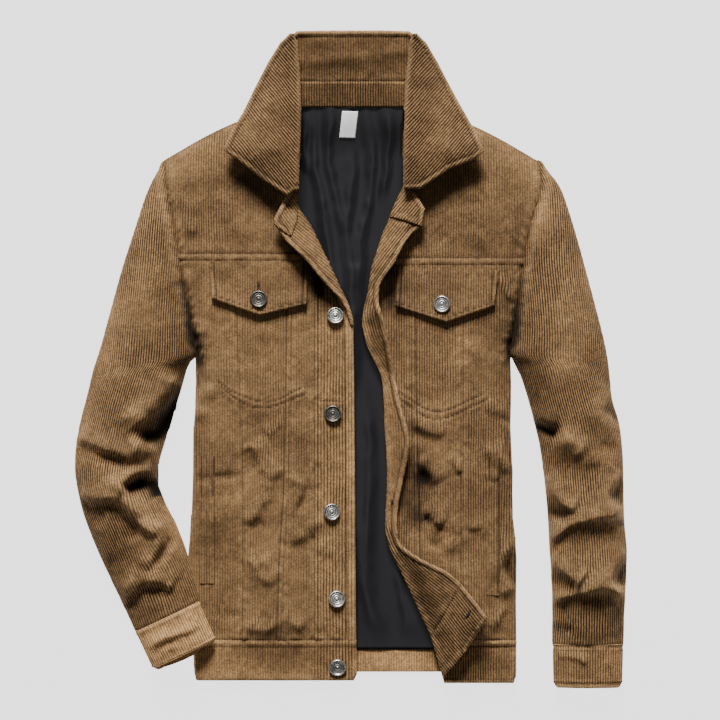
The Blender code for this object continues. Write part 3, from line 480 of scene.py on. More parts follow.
@dataclass(frozen=True)
class FrontForm:
    """Height of one front of the jacket.

    Attributes:
        side: which front it is.
        edge: the side seam and armhole.
        opening: the button edge or the rolled edge.
        drop: how much lower the front lies at the opening.
        creases: folds of the cloth, with the painted shadows of the lapels and the collar, which have no
            height.
    """

    side: Side
    edge: Array
    opening: Array
    drop: float
    creases: tuple[Crease, ...]

    def inset(self, x: Array, y: Array) -> Array:
        """How far a point lies from the opening, measured across."""
        return (x - crossing(self.opening, y)) * self.side.value

    def top(self, x: Array, y: Array) -> Array:
        """Height of the outer face."""
        lift = np.interp(y, ARMHOLE_LIFT_Y, ARMHOLE_LIFT)
        inward = np.abs(crossing(self.edge, y)) - np.abs(x)
        top = lift + (BODY_CROWN - lift) * dome(inward / SIDE_ROUND) ** 0.7
        shoulder = shoulder_distance(x, y)
        top = EDGE_TOP + (top - EDGE_TOP) * dome((shoulder + SHOULDER_SEAM) / SHOULDER_ROUND)
        sunk = self.drop * (1.0 - smooth(self.inset(x, y) / OPENING_SLOPE))
        top = top - sunk * dome((shoulder - NECK_FOLD) / SHOULDER_ROUND)
        top = np.where(top > HEM_TOP, HEM_TOP + (top - HEM_TOP) * smooth((y - HEM_Y) / HEM_ROUND), top)
        loose = dome(inward / 14.0) * dome((shoulder + 1.0) / 14.0)
        folded = top + crease_sum(self.creases, x, y) * loose
        top = np.maximum(folded, np.minimum(top, FOLD_FLOOR))
        top = top + loose * (1.5 * RIPPLE(x, y, 46.0, 1.3) + 0.8 * RIPPLE(x + 300, y, 19.0, 0.8)
                             + 0.25 * RIPPLE(x, y + 200, 8.0)) * 0.8
        pressed = smooth((PRESSED_FROM[0] - x) / PRESSED_OVER[0])
        pressed = pressed * smooth((PRESSED_FROM[1] - y) / PRESSED_OVER[1])
        top = np.where(top > PRESSED_TOP, top + (PRESSED_TOP - top) * pressed, top)
        return np.maximum(top, EDGE_TOP)

    def turned(self, x: Array, y: Array) -> Array:
        """Height of a turned facing, which stands off at its free edge, most at the chest."""
        reach = smooth(self.inset(x, y) / STAND_OFF_WIDTH)
        chest = smooth((y - CHEST_FROM) / 30.0) * smooth((CHEST_TO - y) / 30.0)
        bulge = CHEST_LIFT * chest * smooth(self.inset(x, y) / CHEST_WIDTH)
        return self.top(x, y) + LAY_GAP + CLOTH + STAND_OFF * reach + bulge

    def lying(self, lift: float) -> Height:
        """Height of a piece that lies on the front."""
        return lambda x, y: self.top(x, y) + lift


def over(form: FrontForm) -> Height:
    """Height of a piece that lies on the turned facing of a front."""
    return lambda x, y: form.turned(x, y) + LAY_GAP + CLOTH


def shoulder_y(x: Array) -> Array:
    """Level of the shoulder line."""
    inward = SHOULDER_X - np.abs(x)
    bow = SHOULDER_BOW * np.sin(np.pi * np.clip(inward / (SHOULDER_X - NECK_X), 0.0, 1.0))
    return SHOULDER_Y + SHOULDER_SLOPE * inward + bow


def shoulder_distance(x: Array, y: Array) -> Array:
    """How far inside the shoulder line a point lies."""
    return (shoulder_y(x) - y) * math.cos(math.atan(SHOULDER_SLOPE))


def ramp(x: Array, y: Array) -> Array:
    """Underside of the right sleeve, which climbs on to the hem corner."""
    across = smooth((x - RAMP_FROM[0]) / RAMP_OVER[0])
    return RAMP_TOP * across * smooth((RAMP_FROM[1] - y) / RAMP_OVER[1])


def level(height: float) -> Height:
    """A flat surface."""
    return lambda x, y: np.full_like(x, height)


FRONT_RIGHT = FrontForm(Side.RIGHT, SIDE_RIGHT, OPENING_RIGHT, OPENING_DROP_RIGHT, CREASES_RIGHT)
FRONT_LEFT = FrontForm(Side.LEFT, SIDE_LEFT, ROLL_LEFT, OPENING_DROP_LEFT, CREASES_LEFT)


# ---- charts: cloth coordinates to space
class Chart:
    """Maps cloth coordinates, u across the wales and v along them, to points in space."""

    def place(self, u: Array, v: Array) -> Array:
        """Points in millimetres, one row each."""
        raise NotImplementedError

    def back(self, line: Array) -> Array:
        """Cloth coordinates of points given from above."""
        raise NotImplementedError


@dataclass(frozen=True)
class FlatChart(Chart):
    """Straight grain seen from above, with a height at each point.

    Attributes:
        height: height of the outer face.
        grain: direction of the wales in degrees from +Y towards +X.
        creases: folds that the height holds, and painted shade along them.
    """

    height: Height
    grain: float = 0.0
    creases: tuple[Crease, ...] = ()

    def axes(self) -> tuple[Array, Array]:
        """Directions of u and v."""
        angle = math.radians(self.grain)
        return np.array([math.cos(angle), -math.sin(angle)]), np.array([math.sin(angle), math.cos(angle)])

    def place(self, u: Array, v: Array) -> Array:
        across, along = self.axes()
        x, y = u * across[0] + v * along[0], u * across[1] + v * along[1]
        return np.column_stack([x, y, self.height(x, y)])

    def back(self, line: Array) -> Array:
        across, along = self.axes()
        return np.column_stack([line @ across, line @ along])


@dataclass(frozen=True)
class MirrorChart(Chart):
    """Cloth that is folded back along a roll, so that its grain is mirrored there.

    Attributes:
        roll: the line the grain is mirrored in, which follows the fold with gentle bends only.
        height: height of the outer face.
    """

    roll: Array
    height: Height

    def back(self, line: Array) -> Array:
        _, foot, _, _ = nearest(self.roll, line)
        return 2.0 * foot - line

    def place(self, u: Array, v: Array) -> Array:
        spot = self.back(np.column_stack([u, v]))
        return np.column_stack([spot, self.height(spot[:, 0], spot[:, 1])])


@dataclass(frozen=True)
class SleeveChart(Chart):
    """One half of a sleeve between its outer and its inner edge.

    Attributes:
        stations: rows of outer x, outer y, inner x, inner y, crown and lift along the sleeve.
        resting: height that the sleeve lies at.
        creases: folds of the cloth.
        upper: the arched half, or the flat one underneath.
        armhole: the side edge that the sleeve is set in along.
    """

    stations: Array
    resting: Height
    creases: tuple[Crease, ...]
    upper: bool
    armhole: Array

    def reach(self) -> Array:
        """Length along the sleeve at each station."""
        return reach_along((self.stations[:, 0:2] + self.stations[:, 2:4]) / 2.0)

    def state(self, v: Array) -> Array:
        """Outer x, outer y, inner x, inner y, crown and lift at a length along the sleeve."""
        reach = self.reach()
        rows = np.column_stack([np.interp(v, reach, column) for column in self.stations.T])
        seam = crossing(self.armhole, rows[:, 3])
        seam = seam - np.sign(seam) * TUCK
        rows[:, 2] += (seam - rows[:, 2]) * smooth((rows[:, 3] - ARMPIT_Y + ARMPIT_SOFT) / ARMPIT_SOFT)
        return rows

    def girth(self, v: Array) -> Array:
        """Width of the cloth at a length along the sleeve."""
        rows = self.state(v)
        width = np.hypot(rows[:, 2] - rows[:, 0], rows[:, 3] - rows[:, 1])
        if not self.upper:
            return width
        return width * (1.0 + 2.1 * (rows[:, 4] / width) ** 2)

    def outline(self) -> Array:
        """The half's outline in cloth coordinates."""
        v = np.linspace(0.0, self.reach()[-1], 90)
        half = self.girth(v) / 2.0
        return np.vstack([np.column_stack([-half, -v]), np.column_stack([half, -v])[::-1]])

    def place(self, u: Array, v: Array) -> Array:
        rows = self.state(-v)
        share = np.clip(0.5 + u / self.girth(-v), 0.0, 1.0)
        if self.upper:
            share = over_arch(share, ARCH_RISE, ARCH)
        x = rows[:, 0] + (rows[:, 2] - rows[:, 0]) * share
        y = rows[:, 1] + (rows[:, 3] - rows[:, 1]) * share
        if not self.upper:
            return np.column_stack([x, y, self.resting(x, y)])
        arch = np.sin(np.pi * share) ** ARCH
        tucked = TUCK_DROP * smooth((rows[:, 3] - ARMPIT_Y + ARMPIT_SOFT) / ARMPIT_SOFT)
        lift = np.maximum(rows[:, 5] - tucked, CLOTH + 0.4)
        edge = EDGE_TOP + (lift - EDGE_TOP) * smooth(share)
        loose = np.minimum(1.0, 2.2 * arch) * smooth((self.reach()[-1] + v) / 14.0)
        folds = crease_sum(self.creases, x, y)
        folds = folds + 1.5 * RIPPLE(x, y, 34.0, 1.2) + 0.6 * RIPPLE(x, y + 90, 15.0)
        rise = rows[:, 4] * arch + folds * loose
        return np.column_stack([x, y, self.resting(x, y) + edge + np.maximum(rise, 0.0)])


@dataclass(frozen=True)
class CuffChart(Chart):
    """A flat tube; u runs round it and v up it from its lower edge.

    Attributes:
        corners: wrist outer, wrist inner, hem inner and hem outer corner.
        height: height of the tube.
        under_reach: how much further the under layer reaches.
        resting: height that the cuff lies at.
        creases: folds of the cloth.
    """

    corners: tuple[Pair, ...]
    height: float
    under_reach: float
    resting: Height
    creases: tuple[Crease, ...] = ()

    def size(self) -> Pair:
        """Girth and length of the cuff."""
        outer, inner, hem_inner, hem_outer = (np.array(corner) for corner in self.corners)
        width = (np.hypot(*(inner - outer)) + np.hypot(*(hem_inner - hem_outer))) / 2.0
        girth = WALE * round(2.0 * width * 1.07 / WALE)
        return girth, float(np.hypot(*(hem_outer - outer)))

    def place(self, u: Array, v: Array) -> Array:
        outer, inner, hem_inner, hem_outer = (np.array(corner) for corner in self.corners)
        girth, length = self.size()
        turn = (u / girth) % 1.0 * 2.0
        upper = turn <= 1.0
        share = over_arch(np.where(upper, turn, 2.0 - turn), CUFF_RISE, CUFF_ARCH)
        down = (1.0 - v / length)[:, None]
        mixed = share[:, None]
        spot = (outer + (inner - outer) * mixed) * (1.0 - down)
        spot = spot + (hem_outer + (hem_inner - hem_outer) * mixed) * down
        arch = np.sin(np.pi * np.clip(share, 0.0, 1.0)) ** CUFF_ARCH
        along = (hem_outer - outer) / length
        corner = np.clip(1.0 - np.minimum(share, 1.0 - share) * girth / 2.0 / CUFF_CORNER, 0.0, 1.0)
        spot = spot - (CUFF_CORNER * (1.0 - np.sqrt(1.0 - corner ** 2)) * down[:, 0] ** 4)[:, None] * along
        spot = spot + np.where(upper, 0.0, self.under_reach * arch * down[:, 0])[:, None] * along
        x, y = spot.T
        z = self.resting(x, y) + self.height * np.where(
            upper, CUFF_SEAM_SHARE + (1.0 - CUFF_SEAM_SHARE) * arch, CUFF_SEAM_SHARE * (1.0 - arch))
        folds = crease_sum(self.creases, x, y) + 0.6 * RIPPLE(x, y, 21.0)
        return np.column_stack([x, y, z + np.where(upper, folds * arch, 0.0)])


@dataclass(frozen=True)
class WallChart(Chart):
    """An upright band of the stand; u runs along it and v up it.

    Attributes:
        ribs: rows of x, y, low and high along the band.
        lean: how far the top leans towards +Y.
    """

    ribs: Array
    lean: float = 0.0

    def reach(self) -> Array:
        """Length along the band at each rib."""
        return reach_along(self.ribs)

    def size(self) -> Pair:
        """Length and height of the band."""
        height = float(np.mean(np.hypot(self.ribs[:, 3] - self.ribs[:, 2], self.lean)))
        return float(self.reach()[-1]), height

    def place(self, u: Array, v: Array) -> Array:
        x, y, low, high = (np.interp(u, self.reach(), column) for column in self.ribs.T)
        share = v / self.size()[1]
        return np.column_stack([x, y + self.lean * share, low + (high - low) * share])


# ---- pieces
class Edge(Enum):
    """How an edge of a piece is finished."""

    SEAM = "seam"
    FOLD = "fold"
    ARMHOLE = "armhole"
    PLAIN = "plain"


EDGE_KINDS = {edge.value[0]: edge for edge in Edge}


@dataclass(frozen=True)
class Border:
    """An edge of a piece, seen from above.

    Attributes:
        line: the edge.
        kind: sewn to a neighbour, or folded and free.
        stitches: distances of the stitch lines from the edge.
    """

    line: Array
    kind: Edge = Edge.SEAM
    stitches: tuple[float, ...] = ()

    def length(self) -> float:
        """Length of the edge."""
        return np.hypot(*np.diff(self.line, axis=0).T).sum()

    def runs(self, chart: Chart, outline: Array) -> list[Array]:
        """The stitch lines in space, on the inner side of the edge."""
        made = []
        for offset in self.stitches:
            tangent = np.gradient(self.line, axis=0)
            tangent /= np.maximum(np.hypot(*tangent.T), 1e-9)[:, None]
            aside = np.column_stack([-tangent[:, 1], tangent[:, 0]])
            sides = [self.line + sign * offset * aside for sign in (1.0, -1.0)]
            found = [inside_outline(outline, chart.back(side)) for side in sides]
            best = int(found[1].sum() > found[0].sum())
            line = sides[best][found[best]]
            away, _, _, _ = nearest(self.line, line)
            line = line[away > 0.8 * offset]
            if len(line) > 1:
                cloth = chart.back(line)
                made.append(chart.place(cloth[:, 0], cloth[:, 1]))
        return made


@dataclass(frozen=True)
class Look:
    """How the pile of a piece looks.

    Attributes:
        ribbing: contrast of the wales, from 0 to 1.
        shade: painted light of the piece, about 1: a brightness factor on the pile's colour, set for how the
            light falls on the piece.
        relief: height of the wales, as a share of WALE_HEIGHT.
        plain: levels between which the pile is worn plain.
        bold: places across between which the wales are wide and deep.
    """

    ribbing: float = 0.5
    shade: float = 1.0
    relief: float = 1.0
    plain: Pair | None = None
    bold: Pair | None = None


BRUSHED = Look(0.5, 1.0, 0.7)
BRUSHED_LEFT = Look(0.68, 1.0, 0.9)


@dataclass
class Piece:
    """One sewn piece.

    Attributes:
        name: name of the object.
        nodes: nodes of the part that it stands for.
        chart: maps cloth coordinates to space.
        outline: outline in cloth coordinates.
        borders: edges that are sewn or folded.
        look: how the pile looks.
        wall: thickness of the cloth.
        row: distance between the rows of the grid.
        down: the outer face looks down.
        slot: material slot of the record.
        column: distance between the columns of the grid.
        rests_on: what the piece lies on; not used.
        marks: stitch lines across the piece, seen from above.
    """

    name: str
    nodes: tuple[str, ...]
    chart: Chart
    outline: Array
    borders: tuple[Border, ...] = ()
    look: Look = field(default_factory=Look)
    wall: float = CLOTH
    row: float = ROW
    down: bool = False
    slot: str = "corduroy"
    column: float = COLUMN
    rests_on: str = "floor"
    marks: tuple[Array, ...] = ()


@dataclass(frozen=True)
class Ridge:
    """A soft ridge, or a groove, that runs beside a seam, a fold or a stitch line.

    Attributes:
        height: its height, negative for a groove.
        pucker: how much the pucker of the cloth adds.
        width: its half width.
        away: distance of its middle from the line.
    """

    height: float
    pucker: float
    width: float
    away: float = 0.0

    def at(self, away: Array, pucker: Array, offset: float = 0.0) -> Array:
        """Its height at distances from the line, or from a line that runs beside it by offset."""
        return (self.height + self.pucker * pucker) * bell(away, self.width, self.away + offset)


SEAM_RIDGES = (Ridge(-0.15, -0.25, 1.0), Ridge(0.3, 0.0, 2.4, 3.6), Ridge(0.0, 0.7, 4.5, 4.0))
FOLD_RIDGE = Ridge(0.4, 0.5, 1.9, 2.6)
FOLD_ROLL, FOLD_DROP = 1.9, 1.2     # width and depth of a folded edge's rounding
GATHERS = Ridge(0.7, 0.9, 6.0, 6.5)
STITCH_GROOVE = Ridge(-0.65, -0.35, 1.0)
MARK_RIDGES = (Ridge(-0.6, -0.3, 1.1), Ridge(0.35, 0.5, 2.6, 3.0))


def above_armpit(y: Array) -> Array:
    """0 below the armpit and 1 above it, where the armhole's seam pulls the cloth."""
    return smooth((y + 14.0) / 20.0)


def relief(piece: Piece, u: Array, v: Array, spot: Array) -> Array:
    """Height of the wales, the seams and the stitch lines above the smooth cloth."""
    if piece.slot != "corduroy":
        return np.zeros_like(u)
    phase = np.abs(2.0 * (wale_count(piece, u) % 1.0) - 1.0)
    wale = WALE_HEIGHT * piece.look.relief * (1.0 - phase ** 2.2)
    total = wale * (1.0 + 0.2 * RIPPLE(u, v, 2.9, 3.0))
    for border in piece.borders:
        if border.kind is Edge.PLAIN:
            continue
        away, _, _, share = nearest(border.line, spot[:, :2])
        run = share * border.length()
        pucker = RIPPLE(run + 7.0 * len(border.line), away, 6.5, 2.2)
        if border.kind is Edge.SEAM:
            for ridge in SEAM_RIDGES:
                total = total + ridge.at(away, pucker)
        else:
            rolled = np.clip(1.0 - away / FOLD_ROLL, 0.0, 1.0)
            total = total * (1.0 - 0.8 * bell(away, 1.2))
            total = total - FOLD_DROP * (1.0 - np.sqrt(1.0 - rolled ** 2))
            total = total + FOLD_RIDGE.at(away, pucker)
        if border.kind is Edge.ARMHOLE:
            gather = RIPPLE(run + 0.7 * away, away, 3.6, 3.0) + 0.8 * RIPPLE(run + away, away + 30.0, 9.0)
            total = total + above_armpit(spot[:, 1]) * GATHERS.at(away, gather)
        for offset in border.stitches:
            total = total + 0.4 * (1.0 - smooth((away - offset + 1.2) / 1.6)) * smooth(away / 2.0)
            total = total + STITCH_GROOVE.at(away, pucker, offset)
    for mark in piece.marks:
        away, _, _, share = nearest(mark, spot[:, :2])
        pucker = RIPPLE(share * 90.0 + 5.0 * len(mark), away, 6.0, 2.0)
        for ridge in MARK_RIDGES:
            total = total + ridge.at(away, pucker)
    return total


def take_mesh(maker: Maker, name: str) -> bpy.types.Mesh:
    """A mesh of what the maker holds, which frees the maker."""
    mesh = bpy.data.meshes.new(name)
    maker.to_mesh(mesh)
    maker.free()
    return mesh


def build_mesh(piece: Piece) -> bpy.types.Mesh:
    """The outer face of a piece as a grid along its wales, trimmed to its outline.

    Args:
        piece: the piece to build.

    Returns:
        A mesh in metres with the cloth coordinates as its UV map.
    """
    outline = piece.outline
    low = np.floor(outline.min(0) / (piece.column, piece.row)) - 1.0
    high = np.ceil(outline.max(0) / (piece.column, piece.row)) + 1.0
    columns, rows = (int(n) for n in high - low)
    maker = bmesh.new()
    bmesh.ops.create_grid(maker, x_segments=columns, y_segments=rows, size=0.5)
    centres = np.array([face.calc_center_median()[:2] for face in maker.faces])
    kept = inside_outline(outline, ((centres + 0.5) * (columns, rows) + low) * (piece.column, piece.row))
    faces = [face for face, keep in zip(maker.faces, kept) if not keep]
    bmesh.ops.delete(maker, geom=faces, context="FACES")
    loose = [vertex for vertex in maker.verts if not vertex.link_faces]
    bmesh.ops.delete(maker, geom=loose, context="VERTS")
    pinched = [vertex for vertex in maker.verts if len([e for e in vertex.link_edges if e.is_boundary]) > 2]
    for vertex in pinched:
        if vertex.is_valid and vertex.link_faces:
            inmost = min(vertex.link_faces, key=lambda f: f.calc_center_median().length)
            bmesh.ops.delete(maker, geom=[inmost], context="FACES")
    spot = (np.array([vertex.co[:2] for vertex in maker.verts]) + 0.5) * (columns, rows) + low
    spot = spot * (piece.column, piece.row)
    rim = np.array([vertex.is_boundary for vertex in maker.verts])
    ring = np.vstack([outline, outline[:1]])
    _, foot, _, _ = nearest(ring, spot[rim])
    turns = np.roll(outline, -1, 0) - outline
    before = outline - np.roll(outline, 1, 0)
    turned = np.arctan2(turns[:, 1], turns[:, 0]) - np.arctan2(before[:, 1], before[:, 0])
    angle = np.abs(np.angle(np.exp(1j * turned)))
    for corner in outline[angle > 0.5]:
        foot[np.argmin(((foot - corner) ** 2).sum(1))] = corner
    spot[rim] = foot
    for vertex, (u, v) in zip(maker.verts, spot):
        vertex.co = (u, v, 0.0)
    bmesh.ops.dissolve_degenerate(maker, edges=maker.edges[:], dist=0.02)
    beside = {v for vertex in maker.verts if vertex.is_boundary for e in vertex.link_edges for v in e.verts}
    inner = [vertex for vertex in beside if not vertex.is_boundary]
    bmesh.ops.smooth_vert(maker, verts=inner, factor=0.3, use_axis_x=True, use_axis_y=True, use_axis_z=False)
    return finish_mesh(piece, take_mesh(maker, piece.name))


def wale_count(piece: Piece, u: Array) -> Array:
    """Position across the cloth in wales, which are wider where the pile is bold."""
    if piece.look.bold:
        low, high = piece.look.bold
        u = u - (1.0 - 1.0 / BOLD_WALE) * (np.clip(u, low, high) - low)
    return u / WALE


def slip(piece: Piece, u: Array, v: Array) -> Array:
    """How far the wales wander aside, most beside folds and nothing at the rim."""
    if piece.slot != "corduroy" or piece.down or isinstance(piece.chart, CuffChart):
        return np.zeros(len(u))
    ring = np.vstack([piece.outline, piece.outline[:1]])
    inner = smooth(nearest(ring, np.column_stack([u, v]))[0] / 16.0)
    aside = 0.9 * RIPPLE(u + 25.0, v, 30.0, 2.2) + 0.4 * RIPPLE(u, v + 60.0, 11.0, 2.5)
    folds = getattr(piece.chart, "creases", ())
    if folds:
        x, y, _ = piece.chart.place(u, v).T
        slope = crease_sum(folds, x + WALE, y) - crease_sum(folds, x - WALE, y)
        aside = aside - 1.4 * np.tanh(0.4 * slope)
    return aside * inner


def finish_mesh(piece: Piece, mesh: bpy.types.Mesh) -> bpy.types.Mesh:
    """Lifts a grid from cloth coordinates into space and adds relief, UV map and attributes."""
    count = len(mesh.vertices)
    flat = np.zeros(count * 3)
    mesh.vertices.foreach_get("co", flat)
    u, v, _ = flat.reshape(-1, 3).T.copy()
    aside = u + slip(piece, u, v)
    base = piece.chart.place(aside, v)
    place, step = piece.chart.place, NORMAL_STEP
    normal = np.cross(place(aside + step, v) - place(aside - step, v),
                      place(aside, v + step) - place(aside, v - step))
    normal /= np.maximum(np.linalg.norm(normal, axis=1), 1e-9)[:, None]
    up = np.sign(normal[:, 2].sum()) or 1.0
    wanted = -1.0 if piece.down else 1.0
    if isinstance(piece.chart, (WallChart, CuffChart)):
        up = wanted = 1.0
    if up != wanted:
        normal = -normal
    raised = relief(piece, u, v, base)
    if piece.down:
        raised = raised - raised.max()
    made = (base + normal * raised[:, None]) * MM
    mesh.vertices.foreach_set("co", made.ravel())
    if up != wanted:
        mesh.flip_normals()
    corner = np.zeros(len(mesh.loops), int)
    mesh.loops.foreach_get("vertex_index", corner)
    cloth_map = mesh.uv_layers.new(name="cloth")
    cloth_map.data.foreach_set("uv", (np.column_stack([wale_count(piece, u), v / WALE])[corner]).ravel())
    add_attributes(piece, mesh, base)
    mesh.shade_smooth()
    sharpen_seams(piece, mesh, base)
    return mesh


def sharpen_seams(piece: Piece, mesh: bpy.types.Mesh, base: Array) -> None:
    """Marks the cut edges in the seams as sharp, so that the cloth stays level up to them."""
    seams = [border.line for border in piece.borders if border.kind in (Edge.SEAM, Edge.PLAIN)]
    if not seams:
        return
    away = np.min([nearest(line, base[:, :2])[0] for line in seams], axis=0)
    ends = np.zeros(len(mesh.edges) * 2, int)
    mesh.edges.foreach_get("vertices", ends)
    used = np.zeros(len(mesh.loops), int)
    mesh.loops.foreach_get("edge_index", used)
    rim = np.bincount(used, minlength=len(mesh.edges)) == 1
    sharp = rim & (away[ends.reshape(-1, 2)] < 0.8).all(axis=1)
    layer = mesh.attributes.new("sharp_edge", "BOOLEAN", "EDGE")
    layer.data.foreach_set("value", sharp)


def add_attributes(piece: Piece, mesh: bpy.types.Mesh, base: Array) -> None:
    """Stores for the material the contrast of the wales, the piece's painted light and painted shade, lighter
    worn bands at edges and seams, partly painted highlight, and painted highlight on crease ridges.
    """
    count = len(mesh.vertices)
    wear_and_highlight, dark = np.zeros(count), np.zeros(count)
    for border in piece.borders:
        away, _, _, share = nearest(border.line, base[:, :2])
        run = share * border.length()
        if border.kind is Edge.FOLD:
            # a folded edge is lighter: worn, and partly painted highlight
            wear_and_highlight = np.maximum(wear_and_highlight, bell(away, 2.4, 1.2))
        elif border.kind is Edge.SEAM:
            # painted shade in the seam, with a lighter band beside it: worn, partly painted highlight
            dark = np.maximum(dark, 0.25 * bell(away, 1.0))
            wear_and_highlight = np.maximum(wear_and_highlight, 0.4 * bell(away, 2.6, 4.0))
        elif border.kind is Edge.ARMHOLE:
            # painted shade in the crevice where the sleeve is set in, widest low down, with a lighter band
            # beside it: worn, partly painted highlight
            low = smooth((YOKE_Y - base[:, 1]) / 90.0)
            upper = above_armpit(base[:, 1])
            crevice_shade_width = (2.6 + 7.0 * low) * (1.0 + 0.5 * RIPPLE(run, away, 4.0, 4.0))
            dark = np.maximum(dark, upper * (0.7 + low) * bell(away, crevice_shade_width))
            wear_and_highlight = np.maximum(wear_and_highlight, 0.6 * upper * bell(away, 4.0, 9.0))
        for offset in border.stitches:
            # a lighter band between the edge and the stitch line, worn and partly painted highlight, and
            # painted shade in the stitch groove
            wear_and_highlight = np.maximum(wear_and_highlight, 0.5 * (1.0 - smooth((away - offset + 1.0) / 1.4)))
            dark = np.maximum(dark, 0.75 * bell(away, 1.0, offset))
    for mark in piece.marks:
        away, _, _, _ = nearest(mark, base[:, :2])
        # painted shade in the stitch groove, with a lighter band beside it: worn, partly painted highlight
        dark = np.maximum(dark, 0.8 * bell(away, 1.0))
        wear_and_highlight = np.maximum(wear_and_highlight, 0.4 * bell(away, 1.8, 3.0))
    folds = getattr(piece.chart, "creases", ())
    fold = crease_sum(folds, base[:, 0], base[:, 1])
    # painted highlight along the crests of the creases
    wear_and_highlight = np.maximum(wear_and_highlight, 0.6 * smooth(fold / 6.5))
    # painted shade in the hollows of the creases and along the painted shadows of the lapels and the collar
    dark = dark + 0.9 * smooth(-fold / 11.0) + crease_sum(folds, base[:, 0], base[:, 1], "dark")
    dark = np.clip(dark, 0.0, 1.3)
    ribbing = piece.look.ribbing * (1.0 + 0.45 * RIPPLE(base[:, 0] + 200.0, base[:, 1], 38.0, 1.4))
    # the wales' contrast, partly painted shade in the grooves, is stronger on the creases
    ribbing = ribbing + 0.25 * smooth(np.abs(fold) / 3.0)
    if piece.look.plain:
        low, high = piece.look.plain
        ribbing -= 0.7 * smooth((base[:, 1] - low) / 20.0) * smooth((high - base[:, 1]) / 20.0)
    if piece.look.bold:
        low, high = piece.look.bold
        ribbing += 0.24 * (smooth((base[:, 0] - low) / 4.0) * smooth((high - base[:, 0]) / 4.0))
    values = {
        "ribbing": ribbing,
        # the piece's painted light times the painted shade above
        "shade": piece.look.shade * (1.0 - 0.74 * dark),
        "wear_and_highlight": wear_and_highlight * np.maximum(1.0 - dark, 0.0),
    }
    for name, numbers in values.items():
        layer = mesh.attributes.new(name, "FLOAT", "POINT")
        layer.data.foreach_set("value", numbers.astype(np.float32))


def outline_area(outline: Array) -> float:
    """Area inside an outline, in square millimetres."""
    x, y = outline.T
    return abs(float(np.dot(x, np.roll(y, -1)) - np.dot(y, np.roll(x, -1)))) / 2.0


def cut_size(outline: Array) -> tuple[float, float, float]:
    """Width, length and area in metres of the smallest rectangle round a cut piece, and of the piece."""
    sizes = []
    for angle in np.radians(np.arange(0.0, 90.0, 2.0)):
        turn = np.array(((math.cos(angle), -math.sin(angle)), (math.sin(angle), math.cos(angle))))
        sizes.append(sorted(np.ptp(outline @ turn, axis=0)))
    width, length = min(sizes, key=lambda size: size[0] * size[1])
    area = min(outline_area(outline), width * length)
    return float(width) * MM, float(length) * MM, float(area) * MM * MM


def add_object(name: str, data: bpy.types.ID) -> bpy.types.Object:
    """A new object in the scene."""
    obj = bpy.data.objects.new(name, data)
    bpy.context.scene.collection.objects.link(obj)
    return obj


def add_wall(obj: bpy.types.Object, thickness: float) -> None:
    """Gives a surface the thickness of the cloth, inwards."""
    wall = obj.modifiers.new("wall", "SOLIDIFY")
    wall.thickness = thickness * MM
    wall.offset = -1.0


def make_piece(piece: Piece, materials: Finishes) -> None:
    """Args:
        piece: the piece to build.
        materials: the finishes by slot name.
    """
    obj = add_object(piece.name + "_cloth", build_mesh(piece))
    obj.data.materials.append(materials[piece.slot])
    add_wall(obj, piece.wall)
    declare(obj, piece.nodes, piece.slot)
    width, length, area = cut_size(piece.outline)
    LOG.info("%-24s %7d faces", piece.name, len(obj.data.polygons))


def declare(obj: bpy.types.Object, nodes: Sequence[str], slot: str) -> None:
    """Puts an object on the body and hides the parts of the frame that it stands for."""
    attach(obj, BODY)
    if nodes:
        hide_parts(*nodes)


def panel(name: str, chart: Chart, borders: Sequence[Border], **options: object) -> Piece:
    """A piece whose outline is made of borders that follow one another.

    Args:
        name: name of the object and of its node.
        chart: maps cloth coordinates to space.
        borders: the edges in order round the piece, each in its own direction.
        options: other fields of the piece.

    Returns:
        The piece.
    """
    ring = np.vstack([border.line for border in borders])
    keep = np.hypot(*(ring - np.roll(ring, 1, axis=0)).T) > 0.2
    return Piece(name, (name,), chart, chart.back(ring[keep]), tuple(borders), **options)


def rail_panel(name: str, height: Height, first: Array, last: Array, kinds: str, **options: object) -> Piece:
    """A panel between two edges that run down the jacket.

    Args:
        name: name of the object and of its node.
        height: height of the outer face.
        first: the edge at -X, from the top down.
        last: the edge at +X, from the top down.
        kinds: s for a seam, f for a fold, a for an armhole and p for a plain edge, for the first
            edge, bottom, last edge and top.
        options: stitches for each edge, the grain, and other fields of the piece.

    Returns:
        The piece.
    """
    lines = (first, straight((first[-1], last[-1])), last[::-1], straight((last[0], first[0])))
    stitches = options.pop("stitches", ((), (), (), ()))
    borders = [Border(line, EDGE_KINDS[kind], run) for line, kind, run in zip(lines, kinds, stitches)]
    chart = FlatChart(height, options.pop("grain", 0.0), options.pop("creases", ()))
    return panel(name, chart, borders, **options)


# ---- sub-assemblies
SEWN = {
    Side.RIGHT: (((-155, -25), (-129, -41), (-94, -49), (-58, -33)),
                 ((-151, -31), (-129, -48), (-99, -56), (-51, -39)), ((-42, -46), (-28, -47.5), (-12, -47))),
    Side.LEFT: (((56, -38), (101, -60), (153, -41)), ((57, -46), (101, -69), (160, -46))),
}


def sewn_marks(side: Side) -> tuple[Array, ...]:
    """The stitching of the pocket bag on one front, seen from above."""
    return tuple(spline(line) for line in SEWN[side])


